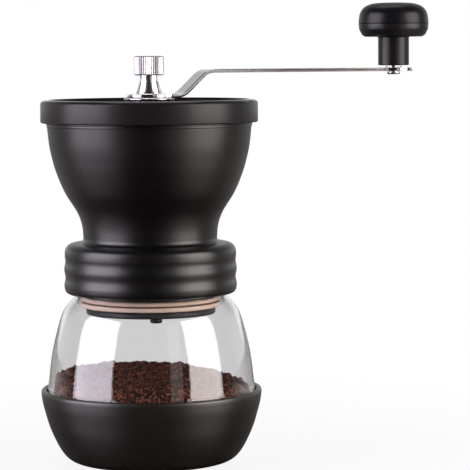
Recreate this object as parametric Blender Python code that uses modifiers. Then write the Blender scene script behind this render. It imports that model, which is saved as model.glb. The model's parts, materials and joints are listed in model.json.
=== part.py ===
"""Hand crank coffee grinder: a glass jar in a rubber boot, a moulded hopper that screws on the jar
and holds a conical burr mill, a lid, and a bent steel crank with a turning knob.

Z is the spindle's axis and z = 0 is the boot's underside. The crank points along +X at rest. All
sizes below are in millimetres; MM turns them into metres where a mesh is made. A profile is a list
of (radius, height) points that is turned about Z: it runs down the outer side and back up inside."""

from math import atan2, ceil, cos, pi, radians, sin, sqrt, tan

import bmesh
import bpy
from mathutils import Matrix, Vector

MM = 0.001

# Fits
GAP = 0.3  # between pieces that touch
RUN = 0.3  # radial, between a turning piece and its bearing
PUSH = 0.5  # radial, between the lid and the rim it is pushed on
STEPS = 28  # sides of the large round pieces
SMALL_STEPS = 20  # sides of the small round pieces

# Boot and jar
BOOT_RIM_R = 47.6
BOOT_FOOT_R = 30.0
BOOT_H = 31.6
BOOT_WALL = 2.4
BOOT_FLOOR = 3.0
JAR_WALL = 2.2
JAR_NECK_FOOT_Z = 72.2
JAR_NECK_H = 17.8
THREAD_DEPTH = 0.8
THREAD_PITCH = 4.5
THREAD_TURNS = 1.5
COFFEE_SIDE_Z = 37.0
COFFEE_TOP_Z = 43.0

# Hopper body
COLLAR_WALL = 3.8  # from the thread's crest to the collar's ribs
COLLAR_ROOF = 2.5  # from the hopper's ceiling to the collar's top
COLLAR_RIBS = 3
RIB_DEPTH = 0.7
COLLAR_LIFT = 0.8  # of the collar's edge over the foot of the jar's neck
SEAL_T = 0.9
WAIST_R = 28.8
WAIST_H = 2.6  # from the collar's top to the waist
BOWL_RIM_R = 44.0
BOWL_H = 48.2  # from the waist to the band under the lid
BOWL_WALL = 2.6
BAND_T = 1.2  # of the plain band under the lid
RIM_H = 4.2  # the part of the bowl's rim inside the lid
SKIRT_WALL = 4.6  # round the outer burr
SKIRT_DROP = 6.1  # of the inner skirt below the collar's edge
SKIRT_SEAL_W = 2.3
SKIRT_SEAL_H = 4.0
THROAT_LIP = 1.7  # of the throat beyond the outer burr's neck
BOSS_WALL = 2.8
BOSS_H = 12.0
BOSS_LIFT = 6.5  # of the boss over the hopper's ceiling
ARM_COUNT = 3
ARM_T = 3.2
ARM_H = 7.5
ARM_LIFT = 1.6  # of the boss arms over the waist

# Mill
CONE_R = 18.2
CONE_TOP_R = 9.0
CONE_H = 17.0
CONE_RISE = 1.3  # of the outer burr's foot over the cone's
CONE_TEETH = 12
GRIND_GAP = 1.1  # radial, from the cone's foot to the outer burr's mouth
BURR_WALL = 3.0
BURR_TAPER = 2.5  # from the outer burr's mouth to its neck
BURR_H = 14.2
BURR_DROP = 5.0  # of the hopper's burr seat below its ceiling
TOOTH = 0.5
OUTER_TEETH = 24
CARRIER_R = 4.9
CARRIER_FLANGE_R = 9.0
CARRIER_FLANGE_T = 1.6
HEX_AF = 5.2  # across the flats of both hexes
HEX_OVER_HUB = 0.8  # of the crank hex over the crank
SHAFT_STEP = 0.7  # of each shoulder on the spindle
THREAD_STEP = 0.1  # of the threads below the hexes' flats
KEY_DEPTH = 0.55  # of the flat that keys the drive washer and the lock plate
KEY_OVER_LOCK = 8.0  # of the keyed length over the lock plate
BUSH_WALL = 1.2
BUSH_L = 4.8
FLANGE_T = 1.2
WASHER_T = 1.2
NUT_R = 10.0
NUT_H = 6.0
RETAINER_T = 2.4
SCREW_R = 1.3
SCREW_HEAD_R = 2.5
SCREW_HEAD_H = 1.5
SCREW_GRIP = 7.0  # of the screws in the skirt
SCREW_COUNT = 3
SCREW_TURN = radians(20)
SPRING_WIRE_R = 0.6
SPRING_TURNS = 3.0
SPRING_WASHER_T = 0.8
BURR_WASHER_T = 1.0
BURR_NUT_T = 3.2

# Lid and crank
LID_WALL = 2.2
LID_T = 2.3
LID_DROP = 3.4  # of the dish below the lid's rim
LID_SHADOW_GAP = 0.4  # under the lid's skirt
SEAT_R = 11.1
SEAT_T = 1.6
SEAT_SINK = 1.2  # of the saucer's foot below the lid's rim
SEAT_RUN = 0.7  # radial, round the turning saucer
CRANK_R = 112.0
CRANK_T = 1.5
CRANK_W = 14.0
CRANK_RISE = 10.6
CRANK_SLOPE = radians(44)
HUB_EYE_PROUD = 2.4  # of each eye beyond the strip's edge
KNOB_EYE_PROUD = 1.4
BEND_START = 4.2  # of the strip's bend beyond the hub's eye
EYE_FILLET = 8.0
CAP_HEAD_R = 6.4
CAP_HEAD_H = 8.3
CAP_NECK_R = 4.0
CAP_CONE_R = 5.8
CAP_CONE_H = 5.8
CAP_NECK_H = 2.0
CAP_ROOF = 4.8
PIN_R = 2.0
PIN_HEAD_R = 4.2
PIN_HEAD_H = 2.0
PIN_TAIL_R = 2.9
PIN_TAIL_H = 1.2
STEM_R = 6.85
STEM_H = 12.6
STEM_LIFT = 1.0  # of the stem over the crank
KNOB_R = 15.5
KNOB_BAND_H = 5.7
KNOB_WELL_FLOOR = 2.6  # from the band's foot to the open top's floor
KNOB_RIM = 5.0  # of the band round its open top
PIN_SEAT = 1.9  # from the pin's head down from the band's foot
SPIGOT_H = 2.4
DOME_H = 9.0

# Side shapes, as (share of the height, share of the way from the first radius to the last)
BOOT_SIDE = ((0, 0), (0.013, 0.17), (0.045, 0.31), (0.1, 0.43), (0.2, 0.56), (0.34, 0.69),
             (0.5, 0.81), (0.67, 0.9), (0.82, 0.97), (0.94, 1))
JAR_SIDE = ((0, 1), (0.11, 0.945), (0.25, 0.895), (0.38, 0.835), (0.5, 0.755), (0.63, 0.65),
            (0.73, 0.56), (0.82, 0.455), (0.885, 0.33), (0.935, 0.19), (0.975, 0.06), (1, 0))
BOWL_SIDE = ((0, 0), (0.1, 0.025), (0.18, 0.09), (0.25, 0.19), (0.325, 0.34), (0.395, 0.48),
             (0.47, 0.595), (0.54, 0.685), (0.61, 0.765), (0.68, 0.83), (0.82, 0.93), (1, 0.995))

# Radii that follow from the sizes above, from the spindle outward
THREAD_R = HEX_AF / 2 - THREAD_STEP
SHAFT_R = HEX_AF / 2 + SHAFT_STEP
SPINDLE_R = SHAFT_R + SHAFT_STEP
FLAT_X = SPINDLE_R - KEY_DEPTH
BUSH_R = SPINDLE_R + RUN + BUSH_WALL
BOSS_R = BUSH_R + GAP + BOSS_WALL
BURR_MOUTH_R = CONE_R + GRIND_GAP
BURR_NECK_R = BURR_MOUTH_R - BURR_TAPER
BURR_R = BURR_MOUTH_R + BURR_WALL
THROAT_R = BURR_NECK_R + THROAT_LIP
SKIRT_R = BURR_R + GAP + SKIRT_WALL
SCREW_CIRCLE_R = SKIRT_R - SKIRT_WALL / 2
SKIRT_SEAL_R = SKIRT_R + GAP + SKIRT_SEAL_W
JAR_NECK_R = SKIRT_SEAL_R + GAP + JAR_WALL
COLLAR_R = JAR_NECK_R + THREAD_DEPTH + GAP + COLLAR_WALL
LID_IN_R = BOWL_RIM_R + PUSH
LID_R = LID_IN_R + LID_WALL
HUB_EYE_R = CRANK_W / 2 + HUB_EYE_PROUD
KNOB_EYE_R = CRANK_W / 2 + KNOB_EYE_PROUD
CRANK_BEND_X = HUB_EYE_R + BEND_START
KNOB_WELL_R = KNOB_R - KNOB_RIM
HEX_CORNER_R = HEX_AF / sqrt(3)

# Heights that follow from the sizes above
JAR_BASE_Z = BOOT_FLOOR + GAP
JAR_RIM_Z = JAR_NECK_FOOT_Z + JAR_NECK_H
COLLAR_Z = JAR_NECK_FOOT_Z + COLLAR_LIFT
CEILING_Z = JAR_RIM_Z + SEAL_T + 2 * GAP
COLLAR_TOP_Z = CEILING_Z + COLLAR_ROOF
COLLAR_H = COLLAR_TOP_Z - COLLAR_Z
WAIST_Z = COLLAR_TOP_Z + WAIST_H
BAND_Z = WAIST_Z + BOWL_H
RIM_Z = BAND_Z + BAND_T + RIM_H
SKIRT_Z = COLLAR_Z - SKIRT_DROP
BURR_SEAT_Z = CEILING_Z - BURR_DROP
BURR_Z = BURR_SEAT_Z - GAP - BURR_H
BOSS_Z = CEILING_Z + BOSS_LIFT
BOSS_TOP_Z = BOSS_Z + BOSS_H
CONE_Z = BURR_Z - CONE_RISE
SHOULDER_Z = CONE_Z + CONE_H + GAP
CARRIER_Z = CONE_Z - GAP - CARRIER_FLANGE_T
RETAINER_TOP_Z = SKIRT_Z - GAP
RETAINER_Z = RETAINER_TOP_Z - RETAINER_T
SCREW_TOP_Z = SKIRT_Z + SCREW_GRIP
WASHER_Z = BOSS_TOP_Z + GAP + FLANGE_T + GAP
NUT_Z = WASHER_Z + WASHER_T + GAP
LOCK_Z = NUT_Z + NUT_H + GAP
KEY_TOP_Z = LOCK_Z + WASHER_T + KEY_OVER_LOCK
LID_BASE_Z = RIM_Z + GAP
LID_TOP_Z = LID_BASE_Z + LID_T + LID_DROP
LID_FOOT_Z = BAND_Z + BAND_T + LID_SHADOW_GAP
SEAT_Z = LID_TOP_Z - SEAT_SINK
HUB_Z = SEAT_Z + SEAT_T + GAP
CAP_Z = HUB_Z + CRANK_T + GAP
HEX_TOP_Z = HUB_Z + CRANK_T + HEX_OVER_HUB
CAP_TOP_Z = CAP_Z + CAP_CONE_H + CAP_NECK_H + CAP_HEAD_H
SPINDLE_TOP_Z = CAP_TOP_Z - CAP_ROOF
KNOB_ARM_Z = HUB_Z + CRANK_RISE
STEM_Z = KNOB_ARM_Z + CRANK_T + STEM_LIFT
BAND_FOOT_Z = STEM_Z + STEM_H
PIN_SEAT_Z = BAND_FOOT_Z - PIN_SEAT
KNOB_WELL_Z = BAND_FOOT_Z + KNOB_WELL_FLOOR
DOME_Z = BAND_FOOT_Z + KNOB_BAND_H + GAP

for old in list(bpy.data.objects):
    bpy.data.objects.remove(old, do_unlink=True)
parts = bpy.data.collections.new("hand_crank_coffee_grinder")
cutters = bpy.data.collections.new("cutters")
bpy.context.scene.collection.children.link(parts)
bpy.context.scene.collection.children.link(cutters)


def material(name, colour, roughness, metallic=0.0, alpha=1.0):
    made = bpy.data.materials.new(name)
    made.use_nodes = True
    made.diffuse_color = (*colour, alpha)
    shader = made.node_tree.nodes["Principled BSDF"]
    shader.inputs["Base Color"].default_value = (*colour, 1.0)
    shader.inputs["Roughness"].default_value = roughness
    shader.inputs["Metallic"].default_value = metallic
    shader.inputs["Alpha"].default_value = alpha
    return made


BLACK_PLASTIC = (0.018, 0.017, 0.018)
STEEL = (0.62, 0.61, 0.6)


# Outlines

def side(shape, low, high):
    """The points of a side shape between two (radius, height) points."""
    return [(low[0] + r * (high[0] - low[0]), low[1] + h * (high[1] - low[1])) for h, r in shape]


def jar_side(low, high):
    """As side, with the shares of the radius counted from the upper point."""
    return [(high[0] + r * (low[0] - high[0]), low[1] + h * (high[1] - low[1])) for h, r in JAR_SIDE]


def inset(points, wall):
    """The same path moved by wall to its right, which is inward for an outer side that runs down."""
    moved = []
    for i, (r, z) in enumerate(points):
        before, after = points[max(i - 1, 0)], points[min(i + 1, len(points) - 1)]
        a = Vector((r - before[0], z - before[1]))
        b = Vector((after[0] - r, after[1] - z))
        way = (a.normalized() + b.normalized()).normalized()
        reach = wall / max(way.dot((b if b.length else a).normalized()), 0.7)
        moved.append((r + way.y * reach, z - way.x * reach))
    return moved


def arc(x, y, radius, start, end, count):
    """Points of an arc about (x, y), angles in radians."""
    turns = [start + (end - start) * i / count for i in range(count + 1)]
    return [(x + radius * cos(t), y + radius * sin(t)) for t in turns]


def hexagon(across_flats):
    corner = across_flats / sqrt(3)
    turns = [radians(60 * i + 15) for i in range(6)]
    return [(corner * cos(t), corner * sin(t)) for t in turns]


def round_hole(radius, sides):
    return arc(0, 0, radius, 0, 2 * pi * (sides - 1) / sides, sides - 1)


def lobed(radius, depth, lobes):
    """A round outline with as many notches as lobes, each depth deep."""
    points = []
    for i in range(4 * lobes):
        reach = radius - (depth if i % 4 > 1 else 0.0)
        turn = 2 * pi * i / (4 * lobes)
        points.append((reach * cos(turn), reach * sin(turn)))
    return points


def d_shape(radius, flat):
    """A circle cut off by a flat at x = flat."""
    half = atan2(sqrt(radius**2 - flat**2), flat)
    return arc(0, 0, radius, half, 2 * pi - half, 14)


# Objects

def keep(name, mesh, finish, collection=None):
    """Makes the object of a mesh, in the parts' collection unless another is given."""
    made = bpy.data.objects.new(name, mesh)
    (collection or parts).objects.link(made)
    if finish:
        mesh.materials.append(finish)
    return made


def as_mesh(source):
    """Turns an object with modifiers, or a curve, into a plain mesh object of the same name."""
    bpy.context.view_layer.update()
    ready = source.evaluated_get(bpy.context.evaluated_depsgraph_get())
    mesh = bpy.data.meshes.new_from_object(ready)
    if source.type == "CURVE":  # its caps are loose
        cage = bmesh.new()
        cage.from_mesh(mesh)
        bmesh.ops.remove_doubles(cage, verts=cage.verts, dist=1e-6)
        cage.to_mesh(mesh)
        cage.free()
    name, place, group = source.name, source.matrix_world.copy(), source.users_collection[0]
    bpy.data.objects.remove(source, do_unlink=True)
    mesh.name = name
    made = bpy.data.objects.new(name, mesh)
    group.objects.link(made)
    made.matrix_world = place
    return made


def turned(name, profile, finish=None, steps=SMALL_STEPS, collection=None):
    """A profile turned about Z. It closes on itself unless it starts and ends on the axis."""
    mesh = bpy.data.meshes.new(name)
    verts = [(r * MM, 0, z * MM) for r, z in profile]
    edges = [(i, i + 1) for i in range(len(verts) - 1)]
    if profile[0][0] > 0:
        edges.append((len(verts) - 1, 0))
    mesh.from_pydata(verts, edges, [])
    made = keep(name, mesh, finish, collection)
    screw = made.modifiers.new("turn", "SCREW")
    screw.axis = "Z"
    screw.steps = steps
    screw.render_steps = steps
    screw.use_merge_vertices = True
    screw.merge_threshold = 1e-5
    return as_mesh(made)


def ring(name, inner, outer, low, high, finish=None, steps=SMALL_STEPS, edge=0.2, collection=None):
    """A washer or sleeve with a small chamfer on its outer edges."""
    profile = [(outer - edge, high), (outer, high - edge), (outer, low + edge), (outer - edge, low),
               (inner, low), (inner, high)]
    return turned(name, profile, finish, steps, collection)


def plate(name, outlines, low, high, finish=None, collection=None):
    """A flat plate between two heights from closed outlines: the first is its edge, the others holes."""
    flat = bpy.data.curves.new(name, "CURVE")
    flat.dimensions = "2D"
    flat.fill_mode = "BOTH"
    flat.extrude = (high - low) / 2 * MM
    for outline in outlines:
        spline = flat.splines.new("POLY")
        spline.points.add(len(outline) - 1)
        for point, (x, y) in zip(spline.points, outline):
            point.co = (x * MM, y * MM, 0, 1)
        spline.use_cyclic_u = True
    made = keep(name, flat, finish, collection)
    made.location.z = (low + high) / 2 * MM
    return as_mesh(made)


def cutter(made):
    """Marks an object as a guide that only shapes others."""
    made.hide_render = True
    made.display_type = "WIRE"
    return made


def combine(target, other, operation):
    change = target.modifiers.new(operation.lower(), "BOOLEAN")
    change.operation = operation
    change.solver = "EXACT"
    change.object = other


def loft(name, rings, finish):
    """A closed ring-shaped skin through rings of equally many points, from the first back to the first."""
    count = len(rings[0])
    verts = [(x * MM, y * MM, z * MM) for points in rings for x, y, z in points]
    faces = []
    for k in range(len(rings)):
        low, high = k * count, (k + 1) % len(rings) * count
        for i in range(count):
            j = (i + 1) % count
            faces.append((low + i, low + j, high + j, high + i))
    mesh = bpy.data.meshes.new(name)
    mesh.from_pydata(verts, [], faces)
    return keep(name, mesh, finish)


def toothed_ring(radius, z, teeth, depth, twist, points_per_tooth):
    """One level of a burr: a slow cut inward and a quick step back out for each tooth."""
    count = teeth * points_per_tooth
    level = []
    for i in range(count):
        cut = (i % points_per_tooth) / (points_per_tooth - 1)
        turn = 2 * pi * i / count + twist
        level.append(((radius - depth * cut) * cos(turn), (radius - depth * cut) * sin(turn), z))
    return level


def round_ring(radius, z, count, twist=0.0):
    return [(radius * cos(2 * pi * i / count + twist), radius * sin(2 * pi * i / count + twist), z)
            for i in range(count)]


def bar(name, inner, outer, width, low, high, turn):
    """An upright rectangular bar between two radii, used to cut or to join."""
    cage = bmesh.new()
    bmesh.ops.create_cube(cage, size=1.0)
    size = Matrix.Diagonal(((outer - inner) * MM, width * MM, (high - low) * MM, 1.0))
    place = Matrix.Translation(((outer + inner) / 2 * MM, 0, (high + low) / 2 * MM))
    bmesh.ops.transform(cage, verts=cage.verts, matrix=Matrix.Rotation(turn, 4, "Z") @ place @ size)
    mesh = bpy.data.meshes.new(name)
    cage.to_mesh(mesh)
    cage.free()
    return cutter(keep(name, mesh, None, cutters))


def round_steps(radius):
    """Enough sides for a round hole of this radius."""
    return max(12, 4 * ceil(radius))


def rod(name, radius, low, high, x=0.0, y=0.0):
    """A round cutter along Z."""
    made = turned(name, [(0, high), (radius, high), (radius, low), (0, low)], None,
                  round_steps(radius), cutters)
    made.location = (x * MM, y * MM, 0)
    return cutter(made)


# The boot, the jar and what is in it

def boot_outline():
    """The boot's outer side, from below its lip down to its foot."""
    return side(BOOT_SIDE, (BOOT_FOOT_R, 0), (BOOT_RIM_R, BOOT_H))[::-1]


def base_boot():
    outer = boot_outline()
    inner = [p for p in inset(outer, BOOT_WALL) if p[1] > BOOT_FLOOR + 1.0]
    floor = [(0, BOOT_FLOOR), (inner[-1][0] - 1.6, BOOT_FLOOR)]
    lip = [(BOOT_RIM_R - BOOT_WALL, BOOT_H - 0.7), (BOOT_RIM_R - BOOT_WALL + 0.7, BOOT_H),
           (BOOT_RIM_R - 0.8, BOOT_H), (BOOT_RIM_R - 0.1, BOOT_H - 0.8)]
    rubber = material("base_boot", (0.045, 0.042, 0.043), 0.55)
    turned("base_boot", floor + inner[::-1] + lip + outer + [(0, 0)], rubber, STEPS)


def jar_outline():
    """The jar's outer side, from its neck's foot down to its base, a gap inside the boot."""
    top = jar_side((BOOT_RIM_R - BOOT_WALL - GAP, BOOT_H), (JAR_NECK_R, JAR_NECK_FOOT_Z))[::-1]
    held = [p for p in inset(boot_outline(), BOOT_WALL + GAP) if JAR_BASE_Z + 1.5 < p[1] < BOOT_H - 3]
    return top + held + [(held[-1][0] - 2.0, JAR_BASE_Z)]


def jar_inside():
    """The jar's inner side above its floor, from the neck's foot down."""
    return [p for p in inset(jar_outline()[::2], JAR_WALL) if p[1] > JAR_BASE_Z + JAR_WALL + 1.5]


def neck_thread():
    """The raised helix on the jar's neck, fading into the neck at both ends."""
    count = int(THREAD_TURNS * STEPS)
    rise = THREAD_PITCH * THREAD_TURNS
    low = JAR_RIM_Z - 2.2 - rise
    verts, faces = [], []
    for i in range(count + 1):
        share = i / count
        proud = THREAD_DEPTH * min(1.0, 6 * share, 6 * (1 - share)) - 0.05
        turn, z = 2 * pi * THREAD_TURNS * share, low + rise * share
        for r, dz in ((-0.9, -1.1), (proud, -0.4), (proud, 0.4), (-0.9, 1.1)):
            reach = (JAR_NECK_R + r) * MM
            verts.append((reach * cos(turn), reach * sin(turn), (z + dz) * MM))
    for i in range(count):
        for k in range(4):
            a, b = 4 * i + k, 4 * i + (k + 1) % 4
            faces.append((a, a + 4, b + 4, b))
    faces += [(0, 1, 2, 3), (4 * count + 3, 4 * count + 2, 4 * count + 1, 4 * count)]
    mesh = bpy.data.meshes.new("neck_thread")
    mesh.from_pydata(verts, [], faces)
    return cutter(keep("neck_thread", mesh, None, cutters))


def glass_jar():
    neck_in = JAR_NECK_R - JAR_WALL
    inner = jar_inside()
    floor = [(0, JAR_BASE_Z + JAR_WALL), (inner[-1][0] - 2.2, JAR_BASE_Z + JAR_WALL)]
    rim = [(neck_in, JAR_RIM_Z - 0.6), (neck_in + 0.6, JAR_RIM_Z), (JAR_NECK_R - 0.6, JAR_RIM_Z),
           (JAR_NECK_R, JAR_RIM_Z - 0.6)]
    profile = floor + inner[::-1] + rim + jar_outline() + [(0, JAR_BASE_Z)]
    jar = turned("glass_jar", profile, material("glass_jar", (0.95, 0.96, 0.96), 0.03, 0.0, 0.3), STEPS)
    combine(jar, neck_thread(), "UNION")


def ground_coffee():
    wall = [p for p in inset(jar_outline()[::2], JAR_WALL + GAP) if JAR_BASE_Z + 4 < p[1] < COFFEE_SIDE_Z - 1]
    heap = [(0, COFFEE_TOP_Z), (wall[0][0] * 0.35, COFFEE_TOP_Z - 0.5),
            (wall[0][0] * 0.75, (COFFEE_TOP_Z + COFFEE_SIDE_Z) / 2), (wall[0][0], COFFEE_SIDE_Z)]
    base_z = JAR_BASE_Z + JAR_WALL + GAP
    profile = heap + wall + [(wall[-1][0] - 2.6, base_z), (0, base_z)]
    turned("ground_coffee", profile, material("ground_coffee", (0.075, 0.028, 0.016), 0.95), STEPS)


# The hopper body and what is fixed in it

def collar_outline():
    """The collar's outer side from its top down, with soft ribs."""
    count = COLLAR_RIBS * 4
    points = []
    for i in range(1, count):
        valley = (1 + cos(2 * pi * COLLAR_RIBS * i / count)) / 2
        points.append((COLLAR_R - RIB_DEPTH * valley, COLLAR_TOP_Z - COLLAR_H * i / count))
    shoulder = [(COLLAR_R - 4.0, COLLAR_TOP_Z + 0.6), (COLLAR_R - 1.6, COLLAR_TOP_Z)]
    return shoulder + points + [(COLLAR_R - 1.3, COLLAR_Z + 0.5), (COLLAR_R - 2.2, COLLAR_Z)]


def bowl_outline():
    """The bowl's outer side from the band under the lid down to the waist."""
    return side(BOWL_SIDE, (WAIST_R, WAIST_Z), (BOWL_RIM_R, BAND_Z))[::-1]


def funnel():
    """The inner side from the throat up to the bowl's rim."""
    bowl = [p for p in inset(bowl_outline()[::2], BOWL_WALL) if p[1] > BOSS_Z + 6.0]
    foot = [(THROAT_R, BURR_SEAT_Z), (THROAT_R, CEILING_Z), (THROAT_R + 2.0, WAIST_Z - 1.0),
            (WAIST_R - BOWL_WALL - 2.6, WAIST_Z + 3.5)]
    return foot + bowl[::-1] + [(BOWL_RIM_R - BOWL_WALL, RIM_Z)]


def hopper_body():
    band_r, band_top = BOWL_RIM_R + 0.2, BAND_Z + BAND_T
    rim = [(BOWL_RIM_R - 0.4, RIM_Z), (BOWL_RIM_R, RIM_Z - 0.4), (BOWL_RIM_R, band_top),
           (band_r, band_top - 0.2), (band_r, BAND_Z + 0.3)]
    below = [(WAIST_R + 0.3, COLLAR_TOP_Z + 1.0)]
    bore = JAR_NECK_R + THREAD_DEPTH + GAP
    inside = [(bore, COLLAR_Z), (bore, CEILING_Z), (SKIRT_R, CEILING_Z), (SKIRT_R, SKIRT_Z + 0.4),
              (SKIRT_R - 0.4, SKIRT_Z), (BURR_R + GAP, SKIRT_Z), (BURR_R + GAP, BURR_SEAT_Z)]
    black = material("hopper_body", BLACK_PLASTIC, 0.38)
    body = turned("hopper_body", rim + bowl_outline() + below + collar_outline() + inside + funnel(),
                  black, STEPS)
    boss = ring("boss", BUSH_R + GAP, BOSS_R, BOSS_Z, BOSS_TOP_Z, collection=cutters)
    combine(body, cutter(boss), "UNION")
    for i in range(ARM_COUNT):
        arm = bar(f"boss_arm_{i + 1}", BOSS_R - 1.2, WAIST_R - 0.5, ARM_T, WAIST_Z + ARM_LIFT,
                  WAIST_Z + ARM_LIFT + ARM_H, 2 * pi * (i + 0.5) / ARM_COUNT)
        combine(body, arm, "UNION")
    for i, (x, y) in enumerate(screw_places()):
        combine(body, rod(f"screw_bore_{i + 1}", SCREW_R + GAP, SKIRT_Z - 1, SCREW_TOP_Z + GAP, x, y),
                "DIFFERENCE")


def rim_seal():
    silicone = material("rim_seal", (0.55, 0.54, 0.52), 0.6)
    ring("rim_seal", JAR_NECK_R - JAR_WALL - 0.2, JAR_NECK_R - 0.3, JAR_RIM_Z + GAP,
         JAR_RIM_Z + GAP + SEAL_T, silicone, STEPS)


def skirt_seal():
    """Two soft lips with a groove between them, round the foot of the hopper's skirt."""
    inner, outer = SKIRT_R + GAP, SKIRT_SEAL_R
    low, high = SKIRT_Z, SKIRT_Z + SKIRT_SEAL_H
    mid = (low + high) / 2
    lips = [(outer - 0.6, high), (outer, high - 0.6), (outer, mid + 0.4), (outer - 0.8, mid),
            (outer, mid - 0.4), (outer, low + 0.6), (outer - 0.6, low), (inner, low), (inner, high)]
    turned("skirt_seal", lips, material("skirt_seal", (0.72, 0.52, 0.4), 0.55), STEPS)


def screw_places():
    turns = [SCREW_TURN + 2 * pi * i / SCREW_COUNT for i in range(SCREW_COUNT)]
    return [(SCREW_CIRCLE_R * cos(t), SCREW_CIRCLE_R * sin(t)) for t in turns]


def burr_retainer():
    """A flange under the skirt with a spigot that holds the outer burr up in its bore."""
    top, low = RETAINER_TOP_Z, RETAINER_Z
    hole = BURR_MOUTH_R + 0.4
    profile = [(BURR_R, BURR_Z - GAP), (BURR_R, top), (SKIRT_R + 0.6, top), (SKIRT_R + 0.6, low + 1.0),
               (SKIRT_R - 0.4, low), (hole + 0.8, low), (hole, low + 0.8), (hole, BURR_Z - GAP)]
    retainer = turned("burr_retainer", profile, material("burr_retainer", BLACK_PLASTIC, 0.45), STEPS)
    for i, (x, y) in enumerate(screw_places()):
        combine(retainer, rod(f"retainer_bore_{i + 1}", SCREW_R + GAP, low - 1, top + 1, x, y), "DIFFERENCE")


def retainer_screws():
    """Pan-head screws up through the retainer into the skirt."""
    head = RETAINER_Z - GAP
    low = head - SCREW_HEAD_H
    profile = [(0, SCREW_TOP_Z), (SCREW_R, SCREW_TOP_Z), (SCREW_R, head), (SCREW_HEAD_R, head),
               (SCREW_HEAD_R, low + 0.7), (SCREW_HEAD_R - 0.8, low), (0, low)]
    steel = material("retainer_screw", STEEL, 0.3, 1.0)
    reach = SCREW_HEAD_R + 0.5
    for i, (x, y) in enumerate(screw_places()):
        screw = turned(f"retainer_screw_{i + 1}", profile, steel, 12)
        screw.location = (x * MM, y * MM, 0)
        slot = bar(f"screw_slot_{i + 1}", -reach, reach, 0.7, low - 1.5, low + 0.6, 0)
        slot.location = screw.location
        combine(screw, slot, "DIFFERENCE")


def outer_burr():
    per_tooth = 3
    count = OUTER_TEETH * per_tooth
    inner = [toothed_ring(r, BURR_Z + z, OUTER_TEETH, TOOTH, twist, per_tooth)
             for r, z, twist in ((BURR_NECK_R, BURR_H, 0.25), (BURR_MOUTH_R, 0.0, 0.0))]
    outer = [round_ring(BURR_R, z, count) for z in (BURR_Z, BURR_Z + BURR_H)]
    loft("outer_burr", inner + outer, material("outer_burr", (0.8, 0.78, 0.73), 0.35))


def bush(name, flange_z, sleeve_low, sleeve_high):
    """A flanged sleeve for the spindle: its flange starts at flange_z."""
    bore = SPINDLE_R + RUN
    rim = BOSS_R - 0.8
    low, high = min(flange_z, sleeve_low), max(flange_z + FLANGE_T, sleeve_high)
    if flange_z > sleeve_low:
        outer = [(rim, high), (rim, flange_z), (BUSH_R, flange_z), (BUSH_R, low)]
    else:
        outer = [(BUSH_R, high), (BUSH_R, flange_z + FLANGE_T), (rim, flange_z + FLANGE_T), (rim, low)]
    bronze = material(name, (0.5, 0.33, 0.16), 0.4, 1.0)
    turned(name, outer + [(bore, low), (bore, high)], bronze)


def bushes():
    bush("lower_bush", BOSS_Z - GAP - FLANGE_T, BOSS_Z - GAP, BOSS_Z + BUSH_L)
    bush("upper_bush", BOSS_TOP_Z + GAP, BOSS_TOP_Z - BUSH_L, BOSS_TOP_Z + GAP)


# The spindle, what is keyed to it and what hangs on it

def spindle():
    """Turned in steps: thread, burr hex, main shaft with a keying flat, upper shaft, crank hex, thread."""
    low = CARRIER_Z - BURR_WASHER_T - BURR_NUT_T - 1.9
    seat_foot = SEAT_Z - GAP
    profile = [(0, SPINDLE_TOP_Z), (THREAD_R - 0.5, SPINDLE_TOP_Z), (THREAD_R, SPINDLE_TOP_Z - 0.5),
               (THREAD_R, seat_foot), (SHAFT_R, seat_foot), (SHAFT_R, KEY_TOP_Z), (SPINDLE_R, KEY_TOP_Z),
               (SPINDLE_R, SHOULDER_Z), (THREAD_R, SHOULDER_Z), (THREAD_R, low + 0.5),
               (THREAD_R - 0.5, low), (0, low)]
    shaft = turned("spindle", profile, material("spindle", STEEL, 0.25, 1.0))
    burr_hex = plate("burr_hex", [hexagon(HEX_AF)], CARRIER_Z, SHOULDER_Z + 1, None, cutters)
    combine(shaft, cutter(burr_hex), "UNION")
    crank_hex = plate("crank_hex", [hexagon(HEX_AF)], seat_foot - 1, HEX_TOP_Z, None, cutters)
    combine(shaft, cutter(crank_hex), "UNION")
    flat = bar("key_flat", FLAT_X, SPINDLE_R + 2, 2 * SPINDLE_R + 2, BOSS_TOP_Z + 0.5, KEY_TOP_Z + 1, 0)
    combine(shaft, flat, "DIFFERENCE")


def inner_burr():
    """A cone whose teeth are deep where beans enter and fine where grounds leave."""
    per_tooth = 4
    count = CONE_TEETH * per_tooth
    levels = ((0.0, CONE_R, 0.4), (0.2, CONE_R - 0.6, 0.7), (0.55, CONE_R - 3.6, 1.2),
              (0.85, CONE_TOP_R + 3.0, 1.6), (1.0, CONE_TOP_R, 0.8))
    cone = [toothed_ring(r, CONE_Z + h * CONE_H, CONE_TEETH, depth, 0.7 * h, per_tooth)
            for h, r, depth in levels]
    bore = [round_ring(CARRIER_R + GAP, CONE_Z + z, count) for z in (CONE_H, 0.0)]
    loft("inner_burr", cone + bore, material("inner_burr", (0.8, 0.78, 0.73), 0.35))


def burr_carrier():
    """A keyed hub: a sleeve in the burr's bore on a flange under it."""
    top, low = CONE_Z + CONE_H, CARRIER_Z
    profile = [(0, top), (CARRIER_R, top), (CARRIER_R, CONE_Z - GAP), (CARRIER_FLANGE_R, CONE_Z - GAP),
               (CARRIER_FLANGE_R, low + 0.4), (CARRIER_FLANGE_R - 0.4, low), (0, low)]
    plastic = material("burr_carrier", BLACK_PLASTIC, 0.45)
    carrier = turned("burr_carrier", profile, plastic)
    socket = plate("carrier_hex", [hexagon(HEX_AF + 2 * GAP)], low - 1, top + 1, None, cutters)
    combine(carrier, cutter(socket), "DIFFERENCE")


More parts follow.
